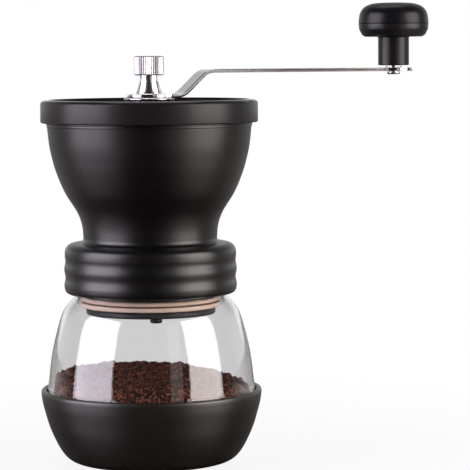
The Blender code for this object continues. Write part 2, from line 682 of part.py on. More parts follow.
def burr_fastening():
    steel = material("burr_nut", STEEL, 0.3, 1.0)
    top = CARRIER_Z - GAP
    low = top - BURR_WASHER_T
    hole = THREAD_R + GAP
    ring("burr_washer", hole, hole + 3.7, low, top, material("burr_washer", STEEL, 0.3, 1.0))
    outlines = [hexagon(HEX_AF + 2.8), round_hole(hole, 16)]
    plate("burr_nut", outlines, low - GAP - BURR_NUT_T, low - GAP, steel)


def spring_seat():
    """The washer on top of the inner burr that the spring pushes on."""
    ring("spring_washer", SPINDLE_R + GAP, SPINDLE_R + 3.6, SHOULDER_Z, SHOULDER_Z + SPRING_WASHER_T,
         material("spring_washer", STEEL, 0.3, 1.0))


def burr_spring():
    """A short coil between the spring washer and the lower bush."""
    low = SHOULDER_Z + SPRING_WASHER_T + GAP + SPRING_WIRE_R
    high = BOSS_Z - GAP - FLANGE_T - GAP - SPRING_WIRE_R
    coil_r = SPINDLE_R + RUN + 0.4 + SPRING_WIRE_R
    sides = 14
    count = int(SPRING_TURNS * sides)
    wire = bpy.data.curves.new("burr_spring", "CURVE")
    wire.dimensions = "3D"
    wire.bevel_depth = SPRING_WIRE_R * MM
    wire.bevel_resolution = 0
    wire.use_fill_caps = True
    spline = wire.splines.new("POLY")
    spline.points.add(count)
    for i, point in enumerate(spline.points):
        turn = 2 * pi * i / sides
        z = low + (high - low) * i / count
        point.co = (coil_r * cos(turn) * MM, coil_r * sin(turn) * MM, z * MM, 1)
    as_mesh(keep("burr_spring", wire, material("burr_spring", STEEL, 0.25, 1.0)))


def keyed_washers():
    """The drive washer on the upper bush and the lock plate on the adjusting nut."""
    hole = d_shape(SPINDLE_R + GAP, FLAT_X + GAP)
    steel = material("drive_washer", STEEL, 0.3, 1.0)
    plate("drive_washer", [round_hole(BOSS_R - 0.4, 24), hole], WASHER_Z, WASHER_Z + WASHER_T, steel)
    plate("lock_plate", [lobed(NUT_R - 1.2, 1.2, 6), hole], LOCK_Z, LOCK_Z + WASHER_T,
          material("lock_plate", STEEL, 0.3, 1.0))


def adjusting_nut():
    """A hand nut on the spindle's thread with coarse grips."""
    outlines = [lobed(NUT_R, 0.9, 12), round_hole(SPINDLE_R + RUN, 20)]
    brass = material("adjusting_nut", (0.6, 0.42, 0.18), 0.3, 1.0)
    plate("adjusting_nut", outlines, NUT_Z, NUT_Z + NUT_H, brass)


def crank_seat():
    """The polished saucer that the crank's hub sits on."""
    top = SEAT_Z + SEAT_T
    profile = [(0, top), (SEAT_R - 0.3, top), (SEAT_R, top - 0.2), (SEAT_R - 0.6, top - 0.8),
               (SEAT_R - 2.6, SEAT_Z), (0, SEAT_Z)]
    seat = turned("crank_seat", profile, material("crank_seat", (0.75, 0.74, 0.73), 0.1, 1.0), 24)
    hole = plate("seat_hex", [hexagon(HEX_AF + 2 * GAP)], SEAT_Z - 1, top + 1, None, cutters)
    combine(seat, cutter(hole), "DIFFERENCE")


# The lid, the crank and its knob

def lid():
    """A flat cap with a raised rim, a skirt round the bowl's rim and a hole for the crank's seat."""
    foot, inner = LID_FOOT_Z, LID_IN_R
    dish = LID_BASE_Z + LID_T
    hole = SEAT_R + SEAT_RUN
    profile = [(LID_R - 1.8, LID_TOP_Z), (LID_R - 0.5, LID_TOP_Z - 0.5), (LID_R, LID_TOP_Z - 1.8),
               (LID_R, foot + 0.8), (LID_R - 0.8, foot), (inner, foot), (inner, LID_BASE_Z),
               (hole, LID_BASE_Z), (hole, dish), (inner - 2.4, dish), (inner - 0.6, dish + 1.6),
               (inner + 0.1, LID_TOP_Z - 0.2)]
    turned("lid", profile, material("lid", BLACK_PLASTIC, 0.3), STEPS)


def strip_side():
    """The crank strip's side outline: hub flat, an upward bend, a slope, a second bend and the arm."""
    low, high = HUB_Z + CRANK_T / 2, KNOB_ARM_Z + CRANK_T / 2
    bends = ((CRANK_BEND_X, low, 3.0), (CRANK_BEND_X + CRANK_RISE / tan(CRANK_SLOPE), high, -5.0))
    middle = [(-HUB_EYE_R - 2, low)]
    for x, z, bend in bends:
        reach = abs(bend) * tan(CRANK_SLOPE / 2)
        start = x - reach * (1.0 if bend > 0 else cos(CRANK_SLOPE))
        start_z = z if bend > 0 else z - reach * sin(CRANK_SLOPE)
        turn = -pi / 2 if bend > 0 else pi / 2 + CRANK_SLOPE
        way = CRANK_SLOPE if bend > 0 else -CRANK_SLOPE
        centre = (start - abs(bend) * cos(turn), start_z - abs(bend) * sin(turn))
        middle += arc(*centre, abs(bend), turn, turn + way, 4)
    middle.append((CRANK_R + KNOB_EYE_R + 2, high))
    return inset(middle, CRANK_T / 2) + inset(middle, -CRANK_T / 2)[::-1]


def eye(x, radius, facing):
    """The round end of the strip about x, with fillets into the strip; facing is +1 for the knob's end."""
    half = CRANK_W / 2
    run = sqrt((radius + EYE_FILLET) ** 2 - (half + EYE_FILLET) ** 2)
    meet = atan2(half + EYE_FILLET, run)
    fillet = arc(run, half + EYE_FILLET, EYE_FILLET, -pi / 2, meet - pi, 4)
    upper = fillet + arc(0, 0, radius, meet, pi, 8)[1:]
    whole = upper + [(px, -py) for px, py in upper[-2::-1]]
    return [(x - facing * px, facing * py) for px, py in whole]


def crank_arm():
    outline = eye(0, HUB_EYE_R, -1) + eye(CRANK_R, KNOB_EYE_R, 1)
    blank = plate("crank_arm", [outline], HUB_Z - 3, KNOB_ARM_Z + CRANK_T + 3,
                  material("crank_arm", STEEL, 0.22, 1.0))
    strip = plate("strip", [strip_side()], -HUB_EYE_R - 3, HUB_EYE_R + 3, None, cutters)
    strip.matrix_world = Matrix.Rotation(pi / 2, 4, "X")
    combine(blank, cutter(strip), "INTERSECT")
    socket = plate("hub_hex", [hexagon(HEX_AF + 2 * GAP)], HUB_Z - 2, HUB_Z + CRANK_T + 2, None, cutters)
    combine(blank, cutter(socket), "DIFFERENCE")
    combine(blank, rod("pin_hole", PIN_R + RUN, KNOB_ARM_Z - 3, KNOB_ARM_Z + CRANK_T + 3, CRANK_R),
            "DIFFERENCE")


def cap_nut():
    """A knurled head on a waisted cone, bored from below for the spindle's thread."""
    neck_z = CAP_Z + CAP_CONE_H
    head_z = neck_z + CAP_NECK_H
    bore = THREAD_R + GAP
    hex_clear, hex_top = HEX_CORNER_R + GAP, HEX_TOP_Z + GAP
    profile = [(0, CAP_TOP_Z), (CAP_HEAD_R - 0.5, CAP_TOP_Z), (CAP_HEAD_R, CAP_TOP_Z - 0.5),
               (CAP_HEAD_R, head_z + 0.4), (CAP_HEAD_R - 0.4, head_z), (CAP_NECK_R, head_z),
               (CAP_NECK_R, neck_z), (CAP_NECK_R + 0.45, neck_z - 1.8), (CAP_CONE_R - 0.5, CAP_Z + 1.2),
               (CAP_CONE_R, CAP_Z), (hex_clear, CAP_Z), (hex_clear, hex_top), (bore, hex_top),
               (bore, SPINDLE_TOP_Z + GAP), (0, SPINDLE_TOP_Z + GAP)]
    turned("cap_nut", profile, material("cap_nut", (0.8, 0.79, 0.78), 0.15, 1.0), 24)


def knob_pin():
    """A headed pin: its head is inside the stem and its tail is riveted under the arm."""
    head, tail = PIN_SEAT_Z + GAP, KNOB_ARM_Z - GAP
    top, low = head + PIN_HEAD_H, tail - PIN_TAIL_H
    profile = [(0, top), (PIN_HEAD_R, top), (PIN_HEAD_R, head), (PIN_R, head), (PIN_R, tail),
               (PIN_TAIL_R, tail), (PIN_TAIL_R, low + 0.6), (PIN_TAIL_R - 0.8, low), (0, low)]
    pin = turned("knob_pin", profile, material("knob_pin", STEEL, 0.3, 1.0), 16)
    pin.location.x = CRANK_R * MM


def knob_washer():
    low = KNOB_ARM_Z + CRANK_T + 0.25
    washer = ring("knob_washer", PIN_R + RUN, 3.6, low, low + 0.5, material("knob_washer", STEEL, 0.3, 1.0),
                  16, 0.1)
    washer.location.x = CRANK_R * MM


def knob_base():
    """The stem and the knob's lower band, bored for the pin and open on top for the dome."""
    top = DOME_Z - GAP
    foot = BAND_FOOT_Z
    bore, well = PIN_R + RUN, PIN_HEAD_R + 0.5
    profile = [(KNOB_R - 0.5, top), (KNOB_R, top - 0.6), (KNOB_R - 0.6, foot + 2.7),
               (KNOB_R - 1.7, foot + 0.9), (KNOB_R - 3.0, foot), (STEM_R + 0.6, foot),
               (STEM_R, foot - 0.6), (STEM_R, STEM_Z + 0.4), (STEM_R - 0.4, STEM_Z), (bore, STEM_Z),
               (bore, PIN_SEAT_Z), (well, PIN_SEAT_Z), (well, KNOB_WELL_Z), (KNOB_WELL_R, KNOB_WELL_Z),
               (KNOB_WELL_R, top)]
    base = turned("knob_base", profile, material("knob_base", (0.03, 0.028, 0.03), 0.5), 24)
    base.location.x = CRANK_R * MM


def knob_dome():
    """The cap of the knob, with a spigot that presses into the base."""
    top = DOME_Z + DOME_H
    spigot, low = KNOB_WELL_R - GAP, DOME_Z - SPIGOT_H
    profile = [(0, top), (KNOB_R * 0.33, top - 0.05), (KNOB_R * 0.6, top - 0.45), (KNOB_R * 0.82, top - 1.8),
               (KNOB_R * 0.945, top - 4.2), (KNOB_R * 0.99, top - 7.0), (KNOB_R - 0.05, DOME_Z + 0.5),
               (KNOB_R - 0.5, DOME_Z), (spigot, DOME_Z), (spigot, low), (spigot - 2.0, low),
               (spigot - 2.0, DOME_Z + 3.0), (0, DOME_Z + 4.0)]
    dome = turned("knob_dome", profile, material("knob_dome", (0.02, 0.02, 0.023), 0.25), 24)
    dome.location.x = CRANK_R * MM


def smooth_all():
    """Shades every part smooth, with sharp edges where its faces meet steeply."""
    for made in list(parts.objects):
        mesh = as_mesh(made).data if made.modifiers else made.data
        mesh.shade_smooth()
        mesh.set_sharp_from_angle(angle=radians(35))


for build in (base_boot, glass_jar, ground_coffee, hopper_body, rim_seal, skirt_seal, burr_retainer,
              retainer_screws, outer_burr, bushes, spindle, inner_burr, burr_carrier, burr_fastening,
              spring_seat, burr_spring, keyed_washers, adjusting_nut, crank_seat, lid, crank_arm, cap_nut,
              knob_pin, knob_washer, knob_base, knob_dome, smooth_all):
    build()
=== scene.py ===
"""The looks of the hand crank coffee grinder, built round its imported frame.

The pieces are sized in millimetres, which MM turns into metres; the studio is laid out in metres. Z is
the spindle's axis. A profile is a list of (radius, height) points that is turned about Z or about the
knob's axis. It runs down the outer side and up inside, wherever it starts. A third number in a point
rounds that corner with an arc of that radius."""

import json
from math import atan2, cos, pi, radians, sin, sqrt, tan

import bmesh
import bpy
import numpy as np
from mathutils import Matrix, Vector, noise


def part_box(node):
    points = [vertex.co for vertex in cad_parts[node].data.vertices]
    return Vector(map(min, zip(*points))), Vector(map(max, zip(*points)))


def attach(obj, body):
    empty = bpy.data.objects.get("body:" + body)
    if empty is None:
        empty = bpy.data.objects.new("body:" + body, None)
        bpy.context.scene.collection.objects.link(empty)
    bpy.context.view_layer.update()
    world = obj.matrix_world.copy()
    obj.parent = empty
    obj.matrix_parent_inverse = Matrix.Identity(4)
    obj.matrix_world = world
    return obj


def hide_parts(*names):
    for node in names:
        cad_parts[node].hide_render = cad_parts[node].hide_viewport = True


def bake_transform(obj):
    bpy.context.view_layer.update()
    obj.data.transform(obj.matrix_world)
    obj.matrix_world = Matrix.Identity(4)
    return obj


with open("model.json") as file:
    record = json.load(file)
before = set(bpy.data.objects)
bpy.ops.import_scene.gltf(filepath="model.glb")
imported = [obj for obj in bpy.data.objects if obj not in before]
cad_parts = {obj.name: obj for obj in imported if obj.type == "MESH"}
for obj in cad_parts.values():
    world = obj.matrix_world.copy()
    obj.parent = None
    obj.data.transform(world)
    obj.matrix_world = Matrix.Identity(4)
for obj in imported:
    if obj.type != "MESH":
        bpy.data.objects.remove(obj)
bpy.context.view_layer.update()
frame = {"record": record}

MM = 0.001
FINE = 144  # sides of the large round pieces
SMALL = 64  # sides of the small ones
GAP = 0.3  # between pieces that fit together
SHARP = 32  # degrees: a steeper corner is shaded as an edge
BODIES = frame["record"]["behaviour"]["bodies"]
BODY_OF = {node: body for body, nodes in BODIES.items() for node in nodes}


# Places, read once from the frame

BOX = {node: [Vector(corner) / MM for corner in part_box(node)] for node in BODY_OF}


def foot(node):
    return BOX[node][0].z


def top(node):
    return BOX[node][1].z


def reach(node):
    """The outer radius of a round node."""
    return (BOX[node][1].x - BOX[node][0].x) / 2


def centre_x(node):
    return (BOX[node][1].x + BOX[node][0].x) / 2


# Shader nodes

class Value:
    """A node's output that takes part in plain arithmetic."""

    def __init__(self, tree, socket):
        self.tree = tree
        self.socket = socket

    def maths(self, operation, first, second):
        return self.tree.node("ShaderNodeMath", {"operation": operation}, {0: first, 1: second})

    def __add__(self, other):
        return self.maths("ADD", self, other)

    def __radd__(self, other):
        return self.maths("ADD", other, self)

    def __sub__(self, other):
        return self.maths("SUBTRACT", self, other)

    def __rsub__(self, other):
        return self.maths("SUBTRACT", other, self)

    def __mul__(self, other):
        return self.maths("MULTIPLY", self, other)

    def __rmul__(self, other):
        return self.maths("MULTIPLY", other, self)

    def __truediv__(self, other):
        return self.maths("DIVIDE", self, other)

    def __rtruediv__(self, other):
        return self.maths("DIVIDE", other, self)


class Tree:
    """A node tree with one way to add a node."""

    def __init__(self, tree):
        self.nodes = tree.nodes
        self.links = tree.links

    def node(self, kind, settings=None, sockets=None, output=0):
        """Adds a node of a kind, sets it, feeds its sockets and gives one of its outputs."""
        made = self.nodes.new(kind)
        for name, value in (settings or {}).items():
            if name == "stops":
                self.fill_ramp(made.color_ramp, value)
            else:
                setattr(made, name, value)
        self.feed(made, sockets or {})
        return Value(self, made.outputs[output])

    def fill_ramp(self, ramp, stops):
        while len(ramp.elements) < len(stops):
            ramp.elements.new(0.5)
        for element, (place, colour) in zip(ramp.elements, stops):
            element.position = place
            element.color = (*colour, 1.0)

    def feed(self, node, sockets):
        for key, value in sockets.items():
            socket = node.inputs[key]
            if isinstance(value, Value):
                self.links.new(value.socket, socket)
            elif isinstance(value, tuple) and len(value) == 3 and socket.type == "RGBA":
                socket.default_value = (*value, 1.0)
            else:
                socket.default_value = value

    def mix(self, factor, first, second):
        """A colour between two colours."""
        return self.node("ShaderNodeMix", {"data_type": "RGBA"}, {0: factor, 6: first, 7: second}, 2)

    def spread(self, value, low, high, to_low=0.0, to_high=1.0):
        """Maps low..high smoothly to to_low..to_high."""
        return self.node("ShaderNodeMapRange", {"interpolation_type": "SMOOTHSTEP"},
                         {0: value, 1: low, 2: high, 3: to_low, 4: to_high})

    def height(self, place):
        """The Z of a place or a direction."""
        return self.node("ShaderNodeSeparateXYZ", {}, {0: place}, "Z")

    def ray(self, fact):
        """What is known of the ray that arrives, such as Is Camera Ray."""
        return self.node("ShaderNodeLightPath", output=fact)


class Finish(Tree):
    """A material. Its plain sockets are set when it is made."""

    def __init__(self, name, colour, roughness, **sockets):
        self.material = bpy.data.materials.new(name)
        self.material.use_nodes = True
        super().__init__(self.material.node_tree)
        self.shader = self.nodes["Principled BSDF"]
        self.colour = colour
        self.paint(Base_Color=colour, Roughness=roughness, **sockets)
        self.place = self.node("ShaderNodeTexCoord", output="Object")

    def grain(self, size, detail=2.0, stretch=(1.0, 1.0, 1.0)):
        """Noise from 0 to 1 whose spots are about this many millimetres."""
        scaled = self.node("ShaderNodeMapping", {}, {0: self.place, 3: stretch})
        return self.node("ShaderNodeTexNoise", {}, {"Vector": scaled, "Scale": 1 / (size * MM),
                                                    "Detail": detail})

    def cells(self, size, output="Distance"):
        """Round cells of about this many millimetres: the Distance from their middles, or their Color."""
        return self.node("ShaderNodeTexVoronoi", {}, {"Vector": self.place, "Scale": 1 / (size * MM)},
                         output)

    def paint(self, **sockets):
        """Feeds the shader's own sockets, with _ for the spaces in their names."""
        self.feed(self.shader, {key.replace("_", " "): value for key, value in sockets.items()})

    def emboss(self, height, depth, strength=1.0):
        """Raises the surface by height, which runs from 0 to 1, times depth in millimetres."""
        self.paint(Normal=self.node("ShaderNodeBump", {}, {"Strength": strength, "Distance": depth * MM,
                                                           "Height": height}))

    def tint(self, mask, dark, light):
        """Varies the base colour from dark to light times itself."""
        self.paint(Base_Color=self.mix(mask, tuple(c * dark for c in self.colour),
                                       tuple(c * light for c in self.colour)))

    def lay_over(self, factor, shader):
        """Covers the material with another shader by a factor."""
        mixed = self.node("ShaderNodeMixShader", {},
                          {0: factor, 1: Value(self, self.shader.outputs[0]), 2: shader})
        self.links.new(mixed.socket, self.nodes["Material Output"].inputs["Surface"])


def moulded_plastic(name, colour, roughness, spot, depth, level=0.5):
    """Moulded plastic with a spark-eroded grain."""
    made = Finish(name, colour, roughness, Specular_IOR_Level=level)
    spark = made.grain(spot, 3.0)
    cloud = made.grain(14.0, 2.0)
    made.tint(cloud, 0.8, 1.2)
    made.paint(Roughness=roughness + 0.12 * (spark - 0.5) + 0.06 * (cloud - 0.5))
    made.emboss(spark, depth)
    return made


def rubber(name, colour, roughness, level=0.35):
    """Matt rubber or silicone with fine pores."""
    made = Finish(name, colour, roughness, Specular_IOR_Level=level)
    pores = made.grain(0.35, 3.0)
    cloud = made.grain(20.0, 2.0)
    made.tint(cloud, 0.85, 1.15)
    made.paint(Roughness=roughness + 0.1 * (pores - 0.5) + 0.08 * (cloud - 0.5))
    made.emboss(pores, 0.02)
    return made


def metal(name, colour, roughness, stretch=(1.0, 1.0, 1.0), line=0.12, depth=0.004):
    """Metal with its tool marks: stretch is small along the marks."""
    made = Finish(name, colour, roughness, Metallic=1.0)
    marks = made.grain(line, 3.0, stretch)
    cloud = made.grain(6.0, 2.0)
    made.tint(cloud, 0.94, 1.05)
    made.paint(Roughness=roughness * (0.75 + 0.5 * marks) + 0.04 * cloud)
    made.emboss(marks, depth)
    return made


def clear_glass():
    """Slightly wavy glass that lets light through to what is inside."""
    made = Finish("clear_glass", (0.85, 0.845, 0.855), 0.0, Transmission_Weight=1.0, IOR=1.5)
    made.emboss(made.grain(26.0, 1.0), 0.25, 0.35)
    clear = made.node("ShaderNodeBsdfTransparent", {}, {0: (0.94, 0.95, 0.95)})
    made.lay_over(made.ray("Is Shadow Ray"), clear)
    return made


GROUND_SIZE = 0.9


def coffee_grounds():
    """Dark brown grounds, each of its own shade, with a few pale flecks."""
    made = Finish("coffee_grounds", (0.08, 0.026, 0.016), 0.85, Specular_IOR_Level=0.2)
    shade = made.node("ShaderNodeSeparateColor", {}, {0: made.cells(GROUND_SIZE, "Color")})
    fleck = made.grain(1.3, 3.0)
    made.paint(Base_Color=made.node("ShaderNodeValToRGB", {"stops": (
        (0.3, (0.003, 0.001, 0.001)), (0.44, (0.022, 0.006, 0.004)), (0.58, (0.075, 0.022, 0.012)),
        (0.8, (0.26, 0.1, 0.055)))}, {0: 0.45 * shade + 0.55 * fleck}))
    made.paint(Roughness=0.75 + 0.2 * fleck)
    made.emboss(made.cells(GROUND_SIZE), 0.7)
    return made


def ceramic():
    """Off-white fired ceramic with fine specks."""
    made = Finish("burr_ceramic", (0.78, 0.75, 0.69), 0.3, Coat_Roughness=0.2)
    speck = made.grain(0.25, 3.0)
    made.tint(made.grain(5.0), 0.93, 1.04)
    made.paint(Roughness=0.28 + 0.14 * speck)
    made.emboss(speck, 0.01)
    return made


CAP_HEAD_H = 8.3
KNURLS = 44
KNURL_DEPTH = 0.2
CAP_BRIGHT = (0.72, 0.7, 0.72)
# Painted shade on the knurled grip: a darker steel than the cone's, darker still in the valleys between
# the teeth.
CAP_GRIP_SHADE = (0.6, 0.59, 0.61)
CAP_VALLEY_SHADE = (0.3, 0.29, 0.3)


def cap_steel():
    """Bright steel, duller on the knurled grip than on the cone: the grip is rougher and its colour
    darker as painted shade, with painted shade lines in the valleys between the teeth.
    """
    made = metal("cap_steel", CAP_BRIGHT, 0.22, (1.0, 1.0, 4.0), 0.3, 0.002)
    across, depth, height = (made.node("ShaderNodeSeparateXYZ", {}, {0: made.place}, axis)
                             for axis in "XYZ")
    head = top("cap_nut") - CAP_HEAD_H
    grip = made.spread(height, (head - 0.1) * MM, (head + 0.1) * MM)
    around = depth.maths("ARCTAN2", depth, across) * KNURLS / (2 * pi)
    tooth = around.maths("PINGPONG", around, 0.5)
    # Painted shade in the valleys between the knurl's teeth.
    valley_shade = made.spread(tooth, 0.22, 0.42)
    made.paint(Roughness=0.22 + 0.2 * grip,
               Base_Color=made.mix(grip * valley_shade, made.mix(grip, CAP_BRIGHT, CAP_GRIP_SHADE), CAP_VALLEY_SHADE))
    return made


# Paths

def spline(points, per=6):
    """A smooth path through points."""
    ends = [points[0], *points, points[-1]]
    path = []
    for a, b, c, d in zip(ends, ends[1:], ends[2:], ends[3:]):
        for k in range(per):
            t = k / per
            path.append(tuple(0.5 * (2 * q + (r - p) * t + (2 * p - 5 * q + 4 * r - s) * t * t
                                     + (3 * q - p - 3 * r + s) * t**3) for p, q, r, s in zip(a, b, c, d)))
    return path + [tuple(points[-1])]


def side(shape, low, high):
    """A side shape of (share of the height, share of the radius) between two (radius, height) points."""
    return spline([(low[0] + r * (high[0] - low[0]), low[1] + h * (high[1] - low[1])) for h, r in shape])


def inset(path, wall):
    """The same path moved by wall to its right."""
    line = np.array([p[:2] for p in path])
    way = np.gradient(line, axis=0)
    way /= np.linalg.norm(way, axis=1)[:, None]
    return [tuple(p) for p in line + wall * np.stack([way[:, 1], -way[:, 0]], axis=1)]


def rounded(path, closed, arcs=5):
    """Puts an arc at each point that states a radius, as far as its neighbours leave room."""
    out = []
    count = len(path)
    for i, point in enumerate(path):
        here = Vector(point[:2])
        ends = not closed and i in (0, count - 1)
        if len(point) < 3 or ends:
            out.append(tuple(here))
            continue
        before, after = Vector(path[i - 1][:2]) - here, Vector(path[(i + 1) % count][:2]) - here
        half = before.angle(after) / 2
        back = min(point[2] / tan(half), 0.6 * before.length, 0.6 * after.length)
        radius = back * tan(half)
        middle = here + (before.normalized() + after.normalized()).normalized() * (radius / sin(half))
        first = here + before.normalized() * back - middle
        last = here + after.normalized() * back - middle
        sweep = first.angle_signed(last)
        for k in range(arcs + 1):
            out.append(tuple(middle + Matrix.Rotation(-sweep * k / arcs, 2) @ first))
    return out


def circle(radius, sides, turn=0.0):
    """The corners of a regular polygon, round when it has many sides."""
    return [(radius * cos(2 * pi * i / sides + turn), radius * sin(2 * pi * i / sides + turn))
            for i in range(sides)]


# Meshes

def finished(name, verts, faces, sharp=SHARP):
    """A mesh object from points in millimetres."""
    mesh = bpy.data.meshes.new(name)
    mesh.from_pydata([(x * MM, y * MM, z * MM) for x, y, z in verts], [], faces)
    return polished(bpy.data.objects.new(name, mesh), sharp)


def polished(made, sharp=SHARP):
    """Links an object and shades its mesh smooth, with sharp edges at steep corners."""
    cage = bmesh.new()
    cage.from_mesh(made.data)
    bmesh.ops.recalc_face_normals(cage, faces=cage.faces)
    cage.to_mesh(made.data)
    cage.free()
    made.data.shade_smooth()
    made.data.set_sharp_from_angle(angle=radians(sharp))
    if not made.users_collection:
        bpy.context.scene.collection.objects.link(made)
    return made


def turned(name, profile, steps=SMALL, x=0.0, ripple=None, sharp=SHARP):
    """A profile turned about Z at x. ripple(turn, radius, height) gives a new radius."""
    closed = profile[0][0] > 0
    path = rounded(profile, closed)
    verts, rings = [], []
    for r, z in path:
        if r < 1e-6:
            rings.append([len(verts)] * steps)
            verts.append((x, 0.0, z))
            continue
        rings.append(list(range(len(verts), len(verts) + steps)))
        for k in range(steps):
            turn = 2 * pi * k / steps
            reached = ripple(turn, r, z) if ripple else r
            verts.append((x + reached * cos(turn), reached * sin(turn), z))
    faces = []
    for a, b in zip(rings, rings[1:] + rings[:1] if closed else rings[1:]):
        for k in range(steps):
            j = (k + 1) % steps
            corners = [a[k], b[k], b[j], a[j]]
            face = [v for n, v in enumerate(corners) if v not in corners[:n]]
            if len(face) > 2:
                faces.append(face)
    return finished(name, verts, faces, sharp)


def ring(name, inner, outer, low, high, steps=SMALL, x=0.0, edge=0.15):
    """A plain ring with rounded edges."""
    profile = [(outer, high, edge), (outer, low, edge), (inner, low, edge), (inner, high, edge)]
    return turned(name, profile, steps, x)


def as_mesh(source):
    """The finished mesh of a curve, or of an object with modifiers, in its place."""
    bpy.context.view_layer.update()
    mesh = bpy.data.meshes.new_from_object(source.evaluated_get(bpy.context.evaluated_depsgraph_get()))
    mesh.transform(source.matrix_world)
    cage = bmesh.new()
    cage.from_mesh(mesh)
    bmesh.ops.remove_doubles(cage, verts=cage.verts, dist=1e-7)
    cage.to_mesh(mesh)
    cage.free()
    name = source.name
    bpy.data.objects.remove(source, do_unlink=True)
    mesh.name = name
    return bpy.data.objects.new(name, mesh)


def plate(name, outlines, low, high, edge=0.15):
    """A flat plate with rounded edges: the first outline is its edge, the others holes."""
    flat = bpy.data.curves.new(name, "CURVE")
    flat.dimensions = "2D"
    flat.fill_mode = "BOTH"
    flat.extrude = ((high - low) / 2 - edge) * MM
    flat.bevel_depth = edge * MM
    flat.bevel_resolution = 2
    flat.offset = -edge * MM
    for outline in outlines:
        line = flat.splines.new("POLY")
        line.points.add(len(outline) - 1)
        for point, (x, y) in zip(line.points, outline):
            point.co = (x * MM, y * MM, 0, 1)
        line.use_cyclic_u = True
    made = bpy.data.objects.new(name, flat)
    bpy.context.scene.collection.objects.link(made)
    made.location.z = (low + high) / 2 * MM
    return as_mesh(made)


def coil(name, radius, wire, low, high, turns, per=28, sides=12):
    """A round wire wound about Z, its ends closed."""
    count = int(turns * per)
    verts, faces = [], []
    for i in range(count + 1):
        turn = 2 * pi * i / per
        z = low + (high - low) * i / count
        for k in range(sides):
            lean = 2 * pi * k / sides
            r = radius + wire * cos(lean)
            verts.append((r * cos(turn), r * sin(turn), z + wire * sin(lean)))
    for i in range(count):
        for k in range(sides):
            j = (k + 1) % sides
            faces.append((i * sides + k, i * sides + j, (i + 1) * sides + j, (i + 1) * sides + k))
    faces += [list(range(sides)), [count * sides + k for k in range(sides)]]
    return finished(name, verts, faces)


def toothed(name, cut, plain):
    """A closed skin through levels of equally many points: the toothed side's, then the plain side's."""
    levels = cut + plain
    count = len(levels[0])
    verts = [point for level in levels for point in level]
    faces = []
    for k in range(len(levels)):
        low, high = k * count, (k + 1) % len(levels) * count
        for i in range(count):
            j = (i + 1) % count
            faces.append((low + i, low + j, high + j, high + i))
    return finished(name, verts, faces, 40)


def fit(made, finish, *nodes, anchor=None):
    """Gives a piece its finish, and lets it ride for the CAD nodes that it replaces. With an anchor, it
    rides with no body and stays where it is built, its place baked into its mesh."""
    made.data.materials.clear()
    made.data.materials.append(finish.material)
    if anchor:
        low, high = (Vector((0, 0, end(nodes[0]) * MM)) for end in (foot, top))
        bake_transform(made)
    else:
        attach(made, BODY_OF[nodes[0]])
    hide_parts(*nodes)
    return made


# Finishes

LID_ROUGHNESS = 0.34
LID_EDGE_ROUGHNESS = 0.08

hopper_plastic = moulded_plastic("hopper_plastic", (0.0018, 0.0013, 0.0015), 0.31, 0.5, 0.07, 0.5)
lid_plastic = moulded_plastic("lid_plastic", (0.009, 0.0068, 0.0076), LID_ROUGHNESS, 0.3, 0.006, 0.26)
inner_plastic = moulded_plastic("inner_plastic", (0.014, 0.013, 0.013), 0.5, 0.4, 0.01)
boot_rubber = rubber("boot_rubber", (0.0075, 0.0053, 0.004), 0.35, 0.75)
grey_silicone = rubber("grey_silicone", (0.5, 0.49, 0.47), 0.5)
tan_silicone = rubber("tan_silicone", (0.64, 0.48, 0.38), 0.45)
# Painted shade: a brown for the ring that darkens the skirt seal's groove.
painted_groove_shade = rubber("painted_groove_shade", (0.09, 0.04, 0.022), 0.5)
black_steel = metal("black_steel", (0.05, 0.05, 0.052), 0.4)
knob_plastic = moulded_plastic("knob_plastic", (0.004, 0.0035, 0.0045), 0.34, 0.35, 0.008, 0.35)
dome_plastic = moulded_plastic("dome_plastic", (0.004, 0.0037, 0.005), 0.33, 0.3, 0.004, 0.22)
jar_glass = clear_glass()
grounds = coffee_grounds()
strip_steel = metal("strip_steel", (0.66, 0.64, 0.65), 0.1, (0.05, 1.0, 1.0))
bright_steel = metal("bright_steel", (0.74, 0.73, 0.73), 0.1, (1.0, 1.0, 4.0), 0.3, 0.002)
plated_steel = metal("plated_steel", (0.6, 0.6, 0.58), 0.28)
spring_steel = metal("spring_steel", (0.55, 0.54, 0.53), 0.24)
nut_brass = metal("nut_brass", (0.72, 0.5, 0.22), 0.25, (1.0, 1.0, 3.0), 0.3)
bush_bronze = metal("bush_bronze", (0.5, 0.31, 0.17), 0.42, line=0.25, depth=0.01)
knurled_steel = cap_steel()
burr_ceramic = ceramic()


# The boot, the jar and the coffee

BOOT_WALL = 2.4
BOOT_FLOOR = 3.0
BOOT_FOOT_R = 30.0
JAR_WALL = 2.2
NECK_FOOT_Z = top("glass_jar") - 17.8
NECK_R = 32.3
THREAD_DEPTH = 0.8
THREAD_PITCH = 4.5
THREAD_LAPS = 1.5
THREAD_HALF_W = 1.1
BOOT_SIDE = ((0, 0), (0.013, 0.17), (0.045, 0.31), (0.1, 0.43), (0.2, 0.56), (0.34, 0.69),
             (0.5, 0.81), (0.67, 0.9), (0.82, 0.97), (0.94, 1))
JAR_SIDE = ((0, 0), (0.025, 0.06), (0.065, 0.19), (0.115, 0.33), (0.18, 0.455), (0.27, 0.56),
            (0.37, 0.65), (0.5, 0.755), (0.62, 0.835), (0.75, 0.895), (0.89, 0.945), (1, 1))
boot_rim_r = reach("base_boot")
boot_h = top("base_boot")


def boot_outline():
    """The boot's outer side from below its lip down to its foot."""
    return side(BOOT_SIDE, (BOOT_FOOT_R, 0), (boot_rim_r, boot_h))[::-1]


